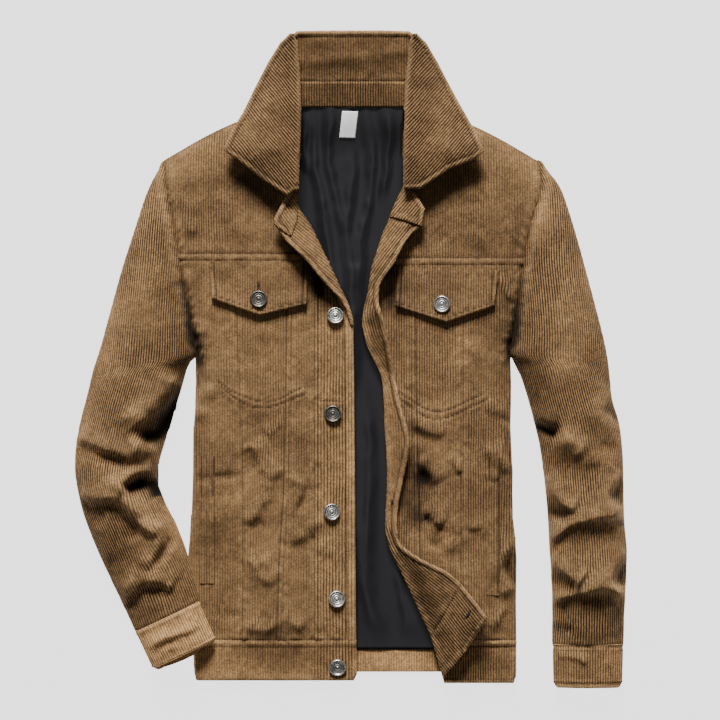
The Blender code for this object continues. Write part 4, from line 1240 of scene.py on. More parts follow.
@dataclass
class Back:
    """The back, its yoke and its hem band, flat on the floor with their outer face down."""

    row: float = PLAIN_ROW
    band_row: float = PLAIN_ROW / 4.0

    def pieces(self) -> list[Piece]:
        """The three pieces."""
        half = SEAM_GAP / 2
        # the hem band's look paints it 2.3 times as bright: painted light on a band that lies in shade
        return [self.part("back_panel", YOKE_Y - half, BACK_BAND_Y + half, self.row, Look(0.6, 1.0)),
                self.part("hem_band_back", BACK_BAND_Y - half, HEM_BACK_Y, self.band_row, Look(0.6, 2.3)),
                self.part("back_yoke", SHOULDER_Y, YOKE_Y + half, self.row, Look(), True)]

    @staticmethod
    def part(name: str, top_y: float, bottom_y: float, row: float, look: Look,
             shoulders: bool = False) -> Piece:
        """The back between the side seams and two levels, or up to the shoulders."""
        right, left = (cut_line(side, top_y, bottom_y) for side in (SIDE_RIGHT, SIDE_LEFT))
        top = straight((left[0], right[0]), 20.0)
        if shoulders:
            x = np.linspace(left[0][0], right[0][0], 48)
            top = np.column_stack([x, np.minimum(shoulder_y(x), NECK_Y + 1.0)])
        bottom = straight((right[-1], left[-1]), 20.0)
        borders = [Border(line) for line in (right, bottom, left[::-1], top)]
        return panel(name, FlatChart(level(0.0)), borders, down=True, row=row, look=look)


@dataclass
class RightFront:
    """The wearer's right front, which carries the buttons."""

    form: FrontForm = FRONT_RIGHT

    def pieces(self) -> list[Piece]:
        """The yoke, the four panels and the hem band."""
        half = SEAM_GAP / 2
        top_y, bottom_y = YOKE_Y - half, BAND_Y + half
        rails = [SIDE_RIGHT, PRINCESS_RIGHT, DART_RIGHT, PLACKET_RIGHT, EDGE_RIGHT]
        names = ("front_side_right", "front_mid_right", "front_centre_right", "placket_right")
        kinds = ("asss", "ssss", "ssss", "ssfs")
        stitches = (((), (), (), ()), ((), (), (5.0,), ()), ((), (), (), ()), ((3.0,), (), (11.0,), ()))
        made = []
        for index, (name, kind) in enumerate(zip(names, kinds)):
            first = cut_line(rails[index], top_y, bottom_y, half if index else 0.0)
            last = cut_line(rails[index + 1], top_y, bottom_y, 0.0 if index == 3 else -half)
            # the placket's look paints it 1.4 times as bright: painted light
            look = Look(0.5, 1.4, 0.9, bold=BOLD_FROM_TO) if name.startswith("placket") else BRUSHED
            made.append(rail_panel(name, self.form.top, first, last, kind, look=look,
                                   stitches=stitches[index], creases=CREASES_RIGHT,
                                   marks=sewn_marks(Side.RIGHT), **FRONT_GRID))
        made.append(self.yoke())
        band = np.array(((-185, BAND_Y - half), (-183, HEM_Y + 8), (-180, HEM_Y)), float)
        edge = np.array(((7, BAND_Y - half), (8, HEM_Y + 8), (4, HEM_Y)), float)
        # the hem band's look paints it 1.5 times as bright: painted light where it turns down from the light
        made.append(rail_panel("hem_band_right", self.form.top, band, edge, "sffs", row=2.6,
                               look=Look(0.5, 1.5, 0.9, bold=BOLD_FROM_TO),
                               stitches=((), (5.0,), (), (8.0,))))
        return made

    def yoke(self) -> Piece:
        """The yoke of this front."""
        return yoke_piece("front_yoke_right", self.form, SIDE_RIGHT, ROLL_RIGHT, YOKE_Y, (-60.8, -60.8))


def yoke_piece(name: str, form: FrontForm, side: Array, roll: Array, seam_y: float, neck: Pair) -> Piece:
    """A front yoke: armhole, shoulder, neck and rolled edge round one patch."""
    low = seam_y + SEAM_GAP / 2
    armhole = cut_line(side, SHOULDER_Y - 1.0, low)
    rolled = cut_line(roll, 203.0, low)
    rise = straight(((neck[0], NECK_Y + 2.0), (neck[0], 262), (neck[1], 225)), 10.0)
    inner = np.vstack([rise, rolled])
    x = np.linspace(neck[0], armhole[0][0], 40)
    shoulder = np.column_stack([x, shoulder_y(x) - 1.0])
    shoulder[0] = inner[0]
    shoulder[-1] = armhole[0]
    bottom = straight((armhole[-1], inner[-1]), 8.0)
    borders = [Border(armhole, Edge.ARMHOLE), Border(bottom, Edge.SEAM, (8.5,)),
               Border(inner[::-1], Edge.FOLD), Border(shoulder)]
    chart = FlatChart(form.top, 0.0, form.creases)
    # the yoke's look paints it darker, 0.88: painted shade under the collar
    return panel(name, chart, borders, look=Look(0.55, 0.88, 0.8), **FRONT_GRID)


@dataclass
class LeftFront:
    """The wearer's left front, whose edge is rolled back on itself."""

    form: FrontForm = FRONT_LEFT

    def pieces(self) -> list[Piece]:
        """The yoke, the three panels and the hem band."""
        half = SEAM_GAP / 2
        top_y, bottom_y = YOKE_LEFT_Y - half, BAND_Y + half
        side = cut_line(SIDE_LEFT, top_y, bottom_y)
        princess = cut_line(PRINCESS_LEFT, top_y, bottom_y)
        dart = cut_line(DART_LEFT, top_y, DART_END_Y)
        roll = cut_line(ROLL_LEFT, -293.0, bottom_y)
        across = np.array((half, 0.0))
        mid = np.vstack([dart, roll])
        shared = {"look": BRUSHED_LEFT, "creases": CREASES_LEFT, "marks": sewn_marks(Side.LEFT), **FRONT_GRID}
        made = [
            rail_panel("front_side_left", self.form.top, princess + across, side, "ssas", **shared),
            rail_panel("front_mid_left", self.form.top, mid + across, princess - across, "ssss",
                       stitches=((5.0,), (), (), ()), **shared),
            rail_panel("front_centre_left", self.form.top, cut_line(ROLL_LEFT, top_y, DART_END_Y),
                       dart - across, "fsss", **shared),
            yoke_piece("front_yoke_left", self.form, SIDE_LEFT, ROLL_LEFT, YOKE_LEFT_Y, (67.0, 64.0)),
        ]
        band = np.array(((96.5, BAND_Y - half), (102, -352), (110, HEM_LEFT_Y)), float)
        edge = np.array(((195, BAND_Y - half), (194.5, HEM_LEFT_Y + 8), (191, HEM_LEFT_Y)), float)
        # the hem band's look paints it 1.5 times as bright: painted light where it turns down from the light
        made.append(rail_panel("hem_band_left", self.form.top, band, edge, "ffss", row=2.6,
                               look=Look(0.75, 1.5), stitches=((), (5.0,), (), (7.0,))))
        return made


@dataclass
class TurnedEdges:
    """The facings that the rolled fronts show, the turned ends of the stand and the turned hem corner."""

    def pieces(self) -> list[Piece]:
        """The five turned pieces, with their grain mirrored at the roll."""
        right = FlatChart(FRONT_RIGHT.turned, -50.0)
        left = MirrorChart(GRAIN_LEFT, FRONT_LEFT.turned)
        roll = cut_line(ROLL_RIGHT, 180.5, 41.0)
        plain, ribbed = Look(0.85, 1.0, 0.9), Look(1.0, 1.12, 1.0)
        made = [self.strip("facing_right", right, LAPEL_RIGHT, roll, plain, (False, True))]
        tab = spline(((-64, 209), (-77, 187), (-89, 163), (-86, 155), (-78, 149)))
        rise = spline(((-61.5, 209), (-61.2, 181), (-62, 165), (-68.5, 145)))
        chart = FlatChart(over(FRONT_RIGHT), -35.0)
        made.append(self.strip("stand_end_right", chart, tab, rise, plain, (False, True)))
        worn = Look(0.95, 1.0, 0.8, (-205.0, 30.0))
        made.append(self.strip("facing_left", left, cut_line(ROLL_LEFT, 168.0, -323.5), FACING_LEFT, worn,
                               (True, False)))
        rise = np.array(((62.6, 203.5), (54, 186), (46, 168.7)), float)
        tab = np.array(((76, 194), (87, 176), (83.5, 156)), float)
        chart = FlatChart(over(FRONT_LEFT), 40.0)
        made.append(self.strip("stand_end_left", chart, rise, tab, ribbed, (True, False)))
        roll = np.array(((94.4, -323.8), (101, -348), (109, -372)), float)
        tip = np.array(((129.4, -261.4), (160, -300), (136, -338)), float)
        chart = FlatChart(FRONT_LEFT.turned, -39.0)
        made.append(self.strip("hem_corner_left", chart, roll, tip, ribbed, (True, False)))
        return made

    @staticmethod
    def strip(name: str, chart: Chart, first: Array, last: Array, look: Look,
              rolled: tuple[bool, bool]) -> Piece:
        """A turned strip between a roll and a free edge; a roll has no edge band."""
        sides = [Border(line, Edge.SEAM if roll else Edge.FOLD, () if roll else (6.0,))
                 for line, roll in zip((first, last[::-1]), rolled)]
        borders = [sides[0], Border(straight((first[-1], last[-1]))),
                   sides[1], Border(straight((last[0], first[0])))]
        return panel(name, chart, borders, look=look, row=2.5)


def flap_height(form: FrontForm, edge: Array) -> Height:
    """Height of a pocket flap, which lifts off towards its free lower edge."""
    def height(x: Array, y: Array) -> Array:
        away, _, _, _ = nearest(edge, np.column_stack([x, y]))
        return form.top(x, y) + FLAP_LIFT + 2.6 * bell(away, 15.0) + 0.8 * RIPPLE(x + 60.0, y, 22.0)
    return height


def welt_height(form: FrontForm, low: float) -> Height:
    """Height of a pocket welt, which runs out level with the front at its lower end."""
    return lambda x, y: form.top(x, y) + 0.7 + 0.6 * smooth((y - low) / 60.0)


@dataclass
class Pockets:
    """Chest flaps with a point each, and the welts of the side pockets."""

    def pieces(self) -> list[Piece]:
        """The two flaps and the two welts."""
        made = []
        right = ((-165.5, 115), (-107, 114.5), (-49, 113.5)), ((-161.5, 70.5), (-106, 51), (-50.5, 64))
        left = ((55, 109.5), (113, 108.5), (173, 106)), ((52, 62), (112, 43), (169, 62.5))
        for name, form, (top, bottom) in (("pocket_flap_right", FRONT_RIGHT, right),
                                          ("pocket_flap_left", FRONT_LEFT, left)):
            free = ((top[0], bottom[0]), bottom, (bottom[2], top[2]))
            borders = [Border(straight(line), Edge.FOLD, (5.5,)) for line in free]
            borders.append(Border(straight(top[::-1])))
            height = flap_height(form, spline(bottom))
            # the painted shadows of the lapels and the collar reach over the flaps
            shade = SHADE_RIGHT if form is FRONT_RIGHT else SHADE_LEFT
            made.append(panel(name, FlatChart(height, 0.0, shade), borders, row=2.5,
                              look=Look(0.62, 0.95, 0.8)))
        for side, form, x, y in ((Side.RIGHT, FRONT_RIGHT, (-175, -158), (-112, -262)),
                                 (Side.LEFT, FRONT_LEFT, (161, 175), (-113, -275))):
            first = np.array(((x[0], y[0]), (x[0] - 2, y[1])), float)
            last = np.array(((x[1], y[0]), (x[1] - 1, y[1])), float)
            made.append(rail_panel(f"pocket_welt_{side.name.lower()}", welt_height(form, y[1]), first, last,
                                   "spsp", look=Look(0.7, 0.95, 0.9), wall=WELT_CLOTH,
                                   marks=tuple(map(np.array, BOXES[side]))))
        return made


SLEEVE_RIGHT = spline((
    (-219.8, 232.6, -219.6, 234.4, 1, 5.2), (-227.8, 217, -218.4, 220, 4.5, 8.6),
    (-238, 197, -217.3, 203, 8, 12), (-253, 152, -210, 165, 15, 17),
    (-268, 105, -202.5, 117, 21, 14), (-281, 58, -195.8, 77, 26, 11), (-293, 14, -188.4, 38, 30, 8),
    (-302, -14, -184.4, 12, 33, 5.5), (-308, -40, -194, -16, 33, EDGE_TOP),
    (-317, -75, -203.5, -50, 32, EDGE_TOP), (-322, -105, -216, -90, 31, EDGE_TOP),
    (-322, -138, -227, -134, 30, EDGE_TOP), (-314, -176, -219, -164, 30, EDGE_TOP),
    (-301, -212, -204, -193, 27, EDGE_TOP), (-284, -250, -190.5, -228, 24, EDGE_TOP),
    (-266, -288, -182, -258, 20, EDGE_TOP), (-251.8, -318.1, -177.8, -282.3, 14.5, EDGE_TOP),
), 8)
SLEEVE_LEFT = spline((
    (223, 232.6, 222.6, 234.4, 1, 5.2), (234.5, 217, 225, 220, 4.5, 8.6),
    (247, 200, 226.3, 205, 8, 12), (263, 152, 214.4, 163, 15, 17),
    (276, 105, 204.4, 112, 21, 14), (288, 60, 199.5, 70, 26, 11), (298, 20, 193.4, 32, 30, 8),
    (303, -10, 193, 5, 33, 5.5), (306.5, -45, 205.5, -35, 34, EDGE_TOP),
    (315, -75, 216, -72, 34, EDGE_TOP), (319, -108, 224, -110, 33, EDGE_TOP),
    (320, -145, 229, -150, 33, EDGE_TOP), (321, -187, 232, -187, 32, EDGE_TOP),
    (324, -224, 234, -224, 30, EDGE_TOP), (323, -260, 236.5, -260, 27, EDGE_TOP),
    (321, -300, 237, -300, 22, EDGE_TOP), (320, -333.5, 237, -333.5, 16.5, EDGE_TOP),
), 8)
# each row: corners of the line, height, left and right half width, and where given the fade and the painted
# shade in the hollow
CREASES_SLEEVE_RIGHT = creases(
    ((-200, -14), (-212, -44), (-238, -66), (-266, -88), 7, 5, 26, 0.2),
    ((-198, -44), (-208, -64), (-225, -82), (-247, -91), -11, 13, 9, 0.15, 0.8),
    ((-196, -30), (-205, -56), (-216, -84), -3, 13, 13, 0.15, 1),
    ((-322, -91), (-300, -99), (-277, -108), (-256, -114), (-238, -115), 5, 24, 4, 0.12),
    ((-322, -101), (-300, -109), (-277, -118), (-254, -125), -3, 5, 11, 0.15),
    ((-258, -92), (-230, -102), (-222, -109), (-225, -120), (-233, -130), (-247, -132), (-261, -144),
            (-271, -160), 6, 4, 18, 0.12),
    ((-262, -154), (-246, -144), (-233, -146), (-224, -163), -10, 7, 9, 0.12, 0.8),
    ((-229, -136), (-222, -150), (-216, -172), -3, 6, 6, 0.15, 0.9),
    ((-320, -160), (-290, -161), (-273, -162), (-256, -178), (-236, -197), (-222, -204), 7, 20, 4, 0.1),
    ((-316, -170), (-290, -171), (-275, -175), (-262, -190), (-244, -206), -4.2, 5, 13, 0.15),
    ((-266, -160), (-250, -177), (-224, -194), 2.4, 6, 3),
    ((-219, -182), (-224, -212), (-236, -246), 5, 5, 15, 0.2),
    ((-208, -200), (-217, -222), (-231, -248), -4, 6, 6, 0.25),
    ((-202, -222), (-210, -232), (-206, -256), 2.4, 5, 8),
    ((-266, -288), (-252, -268), (-237, -258), (-220, -259), (-204, -268), 5.2, 17, 4, 0.12),
    ((-262, -294), (-250, -276), (-236, -267), (-220, -268), (-208, -276), -3.4, 5, 9, 0.15),
    ((-244, -244), (-256, -258), (-266, -272), 2.4, 4, 9),
    ((-300, -190), (-292, -215), (-282, -238), 2.4, 14, 14),
    ((-280, 60), (-262, 20), (-258, -30), 2, 18, 18),
)
CREASES_SLEEVE_LEFT = creases(
    ((206, -62), (222, -72), (240, -80), 3.6, 14, 4, 0.2),
    ((208, -79), (226, -81), (243, -87), -7, 8, 8, 0.2, 0.4),
    ((238, -90), (256, -98), (272, -112), 6.5, 15, 13, 0.25),
    ((238, -124), (256, -131), (276, -128), (290, -114), -3.6, 14, 14, 0.3),
    ((292, -96), (304, -104), (314, -96), -2.4, 9, 9),
    ((306, -33), (295, -58), (297, -67), (313, -74), 4.4, 3, 16, 0.1),
    ((320, -46), (308, -60), (316, -72), -8, 8, 8, 0.1),
    ((318, -130), (303, -154), (300, -165), (315, -179), 4.8, 3, 16, 0.1),
    ((326, -142), (312, -158), (318, -172), -9, 9, 8, 0.1),
    ((224, -138), (242, -163), (262, -176), 5.6, 18, 4, 0.15),
    ((224, -164), (236, -177), (256, -186), -6.5, 9, 8, 0.2, 0.45),
    ((232, -214), (242, -204), (261, -193), (287, -185), (308, -185), (324, -192), 7.2, 22, 2.8, 0.1),
    ((244, -218), (264, -207), (287, -200), (306, -200), -1.6, 6, 20, 0.3, 0.2),
    ((325, -224), (303, -253), (303, -265), (320, -274), 4.8, 3, 16, 0.1),
    ((332, -238), (314, -254), (320, -268), -9, 10, 8, 0.1),
    ((230, -234), (253, -249), (271, -261), 5.6, 18, 4, 0.15),
    ((230, -248), (243, -260), (264, -266), -6, 9, 8, 0.2, 0.45),
    ((232, -288), (250, -276), (272, -270), (294, -268), (313, -274), (324, -282), 7, 20, 2.8, 0.1),
    ((246, -291), (266, -285), (292, -283), (310, -288), -1.6, 6, 18, 0.3, 0.2),
    ((236, -316), (250, -315), (264, -317), -3, 6, 6),
    ((262, 60), (258, 10), (266, -40), 2, 18, 18),
)
CREASES_CUFF_RIGHT = creases(
    ((-238, -341), (-225, -331), (-212, -324), (-199, -320), (-188, -316), (-172, -304), 4, 8, 2.5),
    ((-226, -346), (-212, -338), (-198, -334), 1.6, 6, 3),
)
CREASES_CUFF_LEFT = creases(
    ((241, -349), (256, -347), (268, -350), (277, -358), 3.6, 8, 2.5),
    ((296, -350), (306, -362), (300, -370), 1.6, 6, 4),
)


@dataclass
class Sleeve:
    """A two-piece sleeve and its cuff.

    Attributes:
        name: right or left.
        stations: the sleeve's edges and heights.
        creases: folds of the upper half, with painted shade in their hollows.
        armhole: the side edge that the sleeve is set in along.
        resting: height that the sleeve lies at.
        cuff: corners of the cuff.
        cuff_height: height of the cuff.
        cuff_reach: how much further the under layer of the cuff reaches.
        cuff_creases: folds of the cuff.
        cuff_shade: painted light of the cuff: a brightness factor on its pile's colour.
    """

    name: str
    stations: Array
    creases: tuple[Crease, ...]
    armhole: Array
    resting: Height
    cuff: tuple[Pair, ...]
    cuff_height: float
    cuff_reach: float
    cuff_creases: tuple[Crease, ...]
    cuff_shade: float

    def pieces(self) -> list[Piece]:
        """The upper and the under half."""
        made = []
        for half, upper in (("upper", True), ("under", False)):
            chart = SleeveChart(self.stations, self.resting, self.creases, upper, self.armhole)
            outline = chart.outline()
            outer, inner = self.stations[:, 0:2], chart.state(chart.reach())[:, 2:4]
            high = inner[inner[:, 1] > ARMPIT_Y]
            borders = (Border(high, Edge.ARMHOLE), Border(straight((outer[-1], inner[-1]))))
            name = f"sleeve_{half}_{self.name}"
            # the sleeve's look paints it 1.14 times as bright: painted light
            made.append(Piece(name, (name,), chart, outline, borders if upper else (),
                              look=Look(1.0, 1.14, 1.15), down=not upper, row=3.2 if upper else PLAIN_ROW))
        return made

    def make_cuff(self, materials: Finishes) -> list[Array]:
        """Builds the cuff as a closed tube and returns its stitch lines."""
        chart = CuffChart(self.cuff, self.cuff_height, self.cuff_reach, self.resting, self.cuff_creases)
        girth, length = chart.size()
        outer, inner, hem_inner, hem_outer = self.cuff
        borders = (Border(straight((outer, inner)), Edge.SEAM, CUFF_STITCHES[:1]),
                   Border(straight((hem_outer, hem_inner)), Edge.FOLD, CUFF_STITCHES[1:]))
        name = f"cuff_{self.name}"
        outline = np.array(((0, 0), (girth, 0), (girth, length), (0, length)), float)
        piece = Piece(name, (name,), chart, outline, borders, look=Look(0.65, self.cuff_shade), row=2.5)
        make_tube(piece, girth, length, materials)
        u = np.linspace(0.0, girth, 80)
        return [chart.place(u, np.full_like(u, v)) for v in (length - CUFF_STITCHES[0], CUFF_STITCHES[1])]


def make_tube(piece: Piece, girth: float, length: float, materials: Finishes) -> None:
    """A tube of cloth: a grid whose two side edges are joined."""
    columns, rows = round(girth / COLUMN), max(2, round(length / piece.row))
    maker = bmesh.new()
    bmesh.ops.create_grid(maker, x_segments=columns, y_segments=rows, size=0.5)
    for vertex in maker.verts:
        vertex.co = ((vertex.co.x + 0.5) * girth, (vertex.co.y + 0.5) * length, 0.0)
    mesh = finish_mesh(piece, take_mesh(maker, piece.name))
    joiner = bmesh.new()
    joiner.from_mesh(mesh)
    rim = [vertex for vertex in joiner.verts if vertex.is_boundary]
    bmesh.ops.remove_doubles(joiner, verts=rim, dist=0.0002)
    top = max(joiner.faces, key=lambda face: face.calc_center_median().z)
    if top.normal.z < 0:
        bmesh.ops.reverse_faces(joiner, faces=joiner.faces[:])
    joiner.to_mesh(mesh)
    joiner.free()
    obj = add_object(piece.name + "_cloth", mesh)
    mesh.materials.append(materials[piece.slot])
    add_wall(obj, piece.wall)
    declare(obj, piece.nodes, piece.slot)


# rows of x, y and height, up the collar: the crease beside the neck, and the free edge
COLLAR_CREASES = {
    Side.RIGHT: spline((
        (-61, 190, 32), (-61, 205, 34), (-60.5, 232, 36.5), (-59, 262, 37.5), (-58.2, 292, 38),
        (-59.5, 325, 38.5), (-61, 350, 40), (-62.6, 370, 42), (-64, 386, 43.5),
    ), 5),
    Side.LEFT: spline((
        (63, 190, 32), (63, 205, 34), (63, 232, 36.5), (62.5, 262, 37.5), (62.8, 292, 38),
        (65.5, 325, 38.5), (68, 350, 40), (70, 370, 42), (71, 386, 43.5),
    ), 5),
}
COLLAR_EDGES = {
    Side.RIGHT: spline((
        (-78, 180, 33), (-90, 198, 36), (-116, 221, 39), (-145, 245, 40), (-137, 270, 32),
        (-125, 290, 27), (-112, 318, 22.5), (-96, 349, 24), (-81, 371, 32), (-70, 388, 42),
    ), 5),
    Side.LEFT: spline((
        (86, 180, 33), (98, 200, 36), (128, 223, 39), (153, 245, 40), (144, 270, 32),
        (134, 290, 27), (119, 317, 22.5), (103, 347, 24), (88, 371, 32), (77, 388, 42),
    ), 5),
}
COLLAR_WAVES = creases(
    ((-84, 348), (-96, 300), (-108, 262), 1.6, 12, 12),
    ((92, 350), (104, 300), (112, 262), 1.6, 12, 12),
    ((-118, 232), (-100, 242), (-80, 246), 1.4, 9, 9),
    ((126, 234), (108, 244), (86, 250), 1.4, 9, 9),
)
# outlines of the fall: up the neck, over the corner and back along the free edge
FLAP_RIGHT = (
    (-60.5, 198), (-60, 232), (-58.5, 262), (-57.7, 292), (-59, 325), (-60.6, 350), (-62.2, 369),
    (-64.2, 378.5), (-71, 379.5), (-82, 370), (-96, 349), (-112, 318), (-125, 290), (-137, 270),
    (-145.5, 251), (-147, 245), (-143, 240), (-129, 231), (-103, 210), (-74, 190.5),
)
FLAP_LEFT = (
    (62.5, 198.5), (62.6, 232), (62.4, 262), (62.7, 292), (65, 325), (67.8, 350), (69.6, 369),
    (71, 378.5), (78, 379.5), (89, 370), (103, 347), (119, 316), (134, 288), (144, 270),
    (153, 250), (155, 243), (151, 238), (145, 233), (116, 222), (82, 199),
)
FALL_BACK = (
    (-65, 325.1), (-67, 350), (-68.5, 369), (-67.5, 378), (-62, 382), (-28, 383), (36, 383),
    (68, 382), (74.5, 378), (75.5, 369), (72, 350), (70, 325.1),
)
FALL_BACK_LOW = 24.2
FALL_BACK_RISE = 13.8


def collar_height(x: Array, y: Array) -> Array:
    """Height of the collar's two flaps, from the crease at the neck to their free edge."""
    top = np.zeros(len(x))
    for side in Side:
        crease, edge = COLLAR_CREASES[side], COLLAR_EDGES[side]
        x_in, z_in = (np.interp(y, crease[:, 1], crease[:, column]) for column in (0, 2))
        x_out, z_out = (np.interp(y, edge[:, 1], edge[:, column]) for column in (0, 2))
        share = np.clip((x - x_in) / (x_out - x_in), -0.2, 1.2)
        rolled = 2.4 * np.clip(1.0 - np.abs(x - x_in) / 4.0, 0.0, 1.0) ** 2
        made = z_in + (z_out - z_in) * share + 2.2 * np.sin(np.pi * np.clip(share, 0.0, 1.0)) - rolled
        top = np.where(np.sign(x) == side.value, made, top)
    top = top + crease_sum(COLLAR_WAVES, x, y) + 0.5 * RIPPLE(x, y, 24.0)
    resting = np.where(x < 0, FRONT_RIGHT.top(x, y), FRONT_LEFT.top(x, y)) + FALL_LIFT
    resting = np.where(shoulder_distance(x, y) > -2.0, resting, 0.0)
    return (top + resting + np.sqrt((top - resting) ** 2 + 6.0)) / 2.0


def fall_back_height(x: Array, y: Array) -> Array:
    """Height of the back part of the collar, which rises to its folded top edge."""
    share = (y - STAND_Y) / (COLLAR_TOP_Y - STAND_Y)
    bowl = 2.2 * share * (x / 66.0) ** 2
    waves = 0.9 * bell(y - 352.0 - x / 9.0, 7.0) * (1.0 + 0.6 * RIPPLE(x, y, 20.0))
    waves = waves + 0.4 * RIPPLE(x, y, 12.0)
    return FALL_BACK_LOW + FALL_BACK_RISE * share + bowl + waves * smooth(share * 6.0)


@dataclass
class Collar:
    """The fall, folded out over the shoulders, and the stand inside it."""

    def pieces(self) -> list[Piece]:
        """The two flaps and the back part of the fall, and the three bands of the stand."""
        made = [self.flap("collar_flap_right", FLAP_RIGHT, -39.0),
                self.flap("collar_flap_left", FLAP_LEFT, 41.0)]
        ring = straight([*FALL_BACK, FALL_BACK[0]], 5.0)[:-1]
        chart = FlatChart(fall_back_height)
        borders = (Border(straight(FALL_BACK[3:9], 5.0), Edge.FOLD, (6.0,)),
                   Border(straight((FALL_BACK[-1], FALL_BACK[0]), 5.0)))
        made.append(Piece("collar_fall_back", ("collar_fall",), chart, chart.back(ring), borders,
                          look=Look(0.7, 0.95, 0.8), row=2.2))
        made += self.stand()
        return made

    @staticmethod
    def flap(name: str, corners: Sequence[Pair], grain: float) -> Piece:
        """A flap with its own grain; its free edge is folded and stitched."""
        ring = straight([*corners, corners[0]], 5.0)[:-1]
        chart = FlatChart(collar_height, grain, COLLAR_WAVES)
        free = straight([*corners[8:], corners[0]], 5.0)
        neck = straight(corners[:8], 5.0)
        borders = (Border(free, Edge.FOLD, (6.5,)), Border(neck, Edge.FOLD))
        return Piece(name, (), chart, chart.back(ring), borders, look=Look(1.4, 1.0, 1.5), row=2.2)

    @staticmethod
    def stand() -> list[Piece]:
        """The stand as three bands: across the back and down both sides of the neck."""
        lean = STAND_Y - 0.2 - NECK_Y + 0.8
        high = FALL_BACK_LOW - 0.02
        ribs = np.array(((-66, 295.2, 16.5, high), (-30, 295.2, 16, high), (4, 295.2, 16, high),
                         (36, 295.2, 16, high), (72, 295.2, 16.5, high)), float)
        side_right = np.array(((-60.9, 205, 12, 28), (-60.4, 232, 11, 30), (-59.2, 262, 8, 32),
                               (-59.0, 288, 7, 32), (-59.0, 294, 6, 30)), float)
        side_left = np.array(((63.8, 294, 6, 30), (63.8, 288, 7, 32), (63.4, 262, 8, 32),
                              (63.2, 232, 11, 30), (62.8, 205, 12, 28)), float)
        made = []
        for name, rows, tilt in (("collar_stand_back", ribs, lean), ("collar_stand_right", side_right, 0.0),
                                 ("collar_stand_left", side_left, 0.0)):
            chart = WallChart(rows, tilt)
            length, height = chart.size()
            outline = straight(((0, 0), (length, 0), (length, height), (0, height), (0, 0)), 6.0)[:-1]
            made.append(Piece(name, (), chart, outline, (), look=Look(0.7, 1.0, 0.8), row=2.5))
        made[0].nodes = ("collar_stand",)
        return made


LINING_CREASES = creases(
    ((-38, 292), (-44, 240), (-36, 190), (-22, 110), (-12, 20), 4, 8, 4),
    ((-20, 292), (-26, 240), (-18, 200), (-10, 150), 3.4, 4, 8),
    ((10, 270), (2, 210), (-2, 150), (4, 40), (2, -60), 3.4, 5, 10),
    ((26, 292), (28, 230), (20, 170), (12, 120), (10, 30), 3.6, 4, 9),
    ((46, 292), (42, 230), (34, 180), 3.4, 6, 4),
    ((-50, 292), (-54, 250), (-48, 215), 3, 4, 5),
    ((16, -20), (22, -120), (18, -230), (24, -320), 2.2, 8, 5),
    ((8, -160), (14, -250), (38, -330), 1.8, 5, 8),
    ((50, -240), (62, -290), (66, -330), 1.8, 8, 5),
)


def lining_height(x: Array, y: Array) -> Array:
    """Height of the lining, with soft folds down the back."""
    folds = crease_sum(LINING_CREASES, x, y)
    gathers = 0.6 * np.cos(x / 3.4 + 1.5 * RIPPLE(x, y, 30.0, 3.0)) * smooth((y - 215.0) / 75.0)
    waves = 1.1 * np.cos(x / 11.0 + y / 160.0) + 0.8 * RIPPLE(x, y, 17.0, 5.0)
    inside = smooth((x + 74.0) / 14.0) * smooth((112.0 - x) / 14.0)
    inside = inside * (0.3 + 0.7 * smooth((y + 340.0) / 40.0))
    rise = LINING_LOW + 9.0 * smooth((y - 236.0) / 56.0)
    return rise + inside * np.maximum(1.8 + folds + gathers + waves, 0.0)


@dataclass
class Lining:
    """The back lining in the opening and the blank label at the neck."""

    def pieces(self) -> list[Piece]:
        """The lining and the label."""
        ring = straight(((-58, 300), (-58, 240), (-74, 190), (-74, -340), (112, -340), (112, 190), (60, 240),
                         (62, 300), (-58, 300)), 10.0)[:-1]
        lining = Piece("lining_back", ("lining_back",), FlatChart(lining_height), ring, wall=LINING_CLOTH,
                       slot="lining", column=2.5, rests_on="back_panel")
        ring = straight(((-9.5, 291), (-13, 260), (5.5, 259.5), (9, 290.5), (-9.5, 291)), 4.0)[:-1]
        chart = FlatChart(lambda x, y: lining_height(x, y) + LABEL_LIFT)
        label = Piece("neck_label", ("neck_label",), chart, ring, wall=LABEL_CLOTH, row=1.5, slot="label",
                      column=1.5, rests_on="lining_back")
        return [lining, label]


@dataclass(frozen=True)
class ButtonSpot:
    """A tack button: its name, its place, what it lies on and how dark its metal is."""

    name: str
    x: float
    y: float
    lift: float = 0.0
    dark: bool = False


BUTTONS = (
    ButtonSpot("button_1", -17.5, 51.5, LAY_GAP), ButtonSpot("button_2", -20.5, -63, dark=True),
    ButtonSpot("button_3", -22, -178), ButtonSpot("button_4", -16, -280), ButtonSpot("button_5", -15, -360),
    ButtonSpot("button_flap_right", -107, 71, FLAP_LIFT, True),
    ButtonSpot("button_flap_left", 107, 65, FLAP_LIFT),
)
# a turned button's rings, as shares of its radius and its height
BUTTON_PROFILE = (
    (0.0, 0.78), (0.1, 0.79), (0.17, 0.74), (0.2, 0.62), (0.24, 0.58), (0.28, 0.66), (0.36, 0.7),
    (0.42, 0.66), (0.45, 0.58), (0.49, 0.58), (0.53, 0.66), (0.6, 0.69), (0.66, 0.64), (0.7, 0.58),
    (0.74, 0.68), (0.8, 0.86), (0.86, 0.95), (0.92, 0.92), (0.98, 0.74), (1.0, 0.52), (0.97, 0.38),
    (0.9, 0.3), (0.7, 0.2), (0.5, 0.05), (0.3, 0.0), (0.0, 0.0),
)


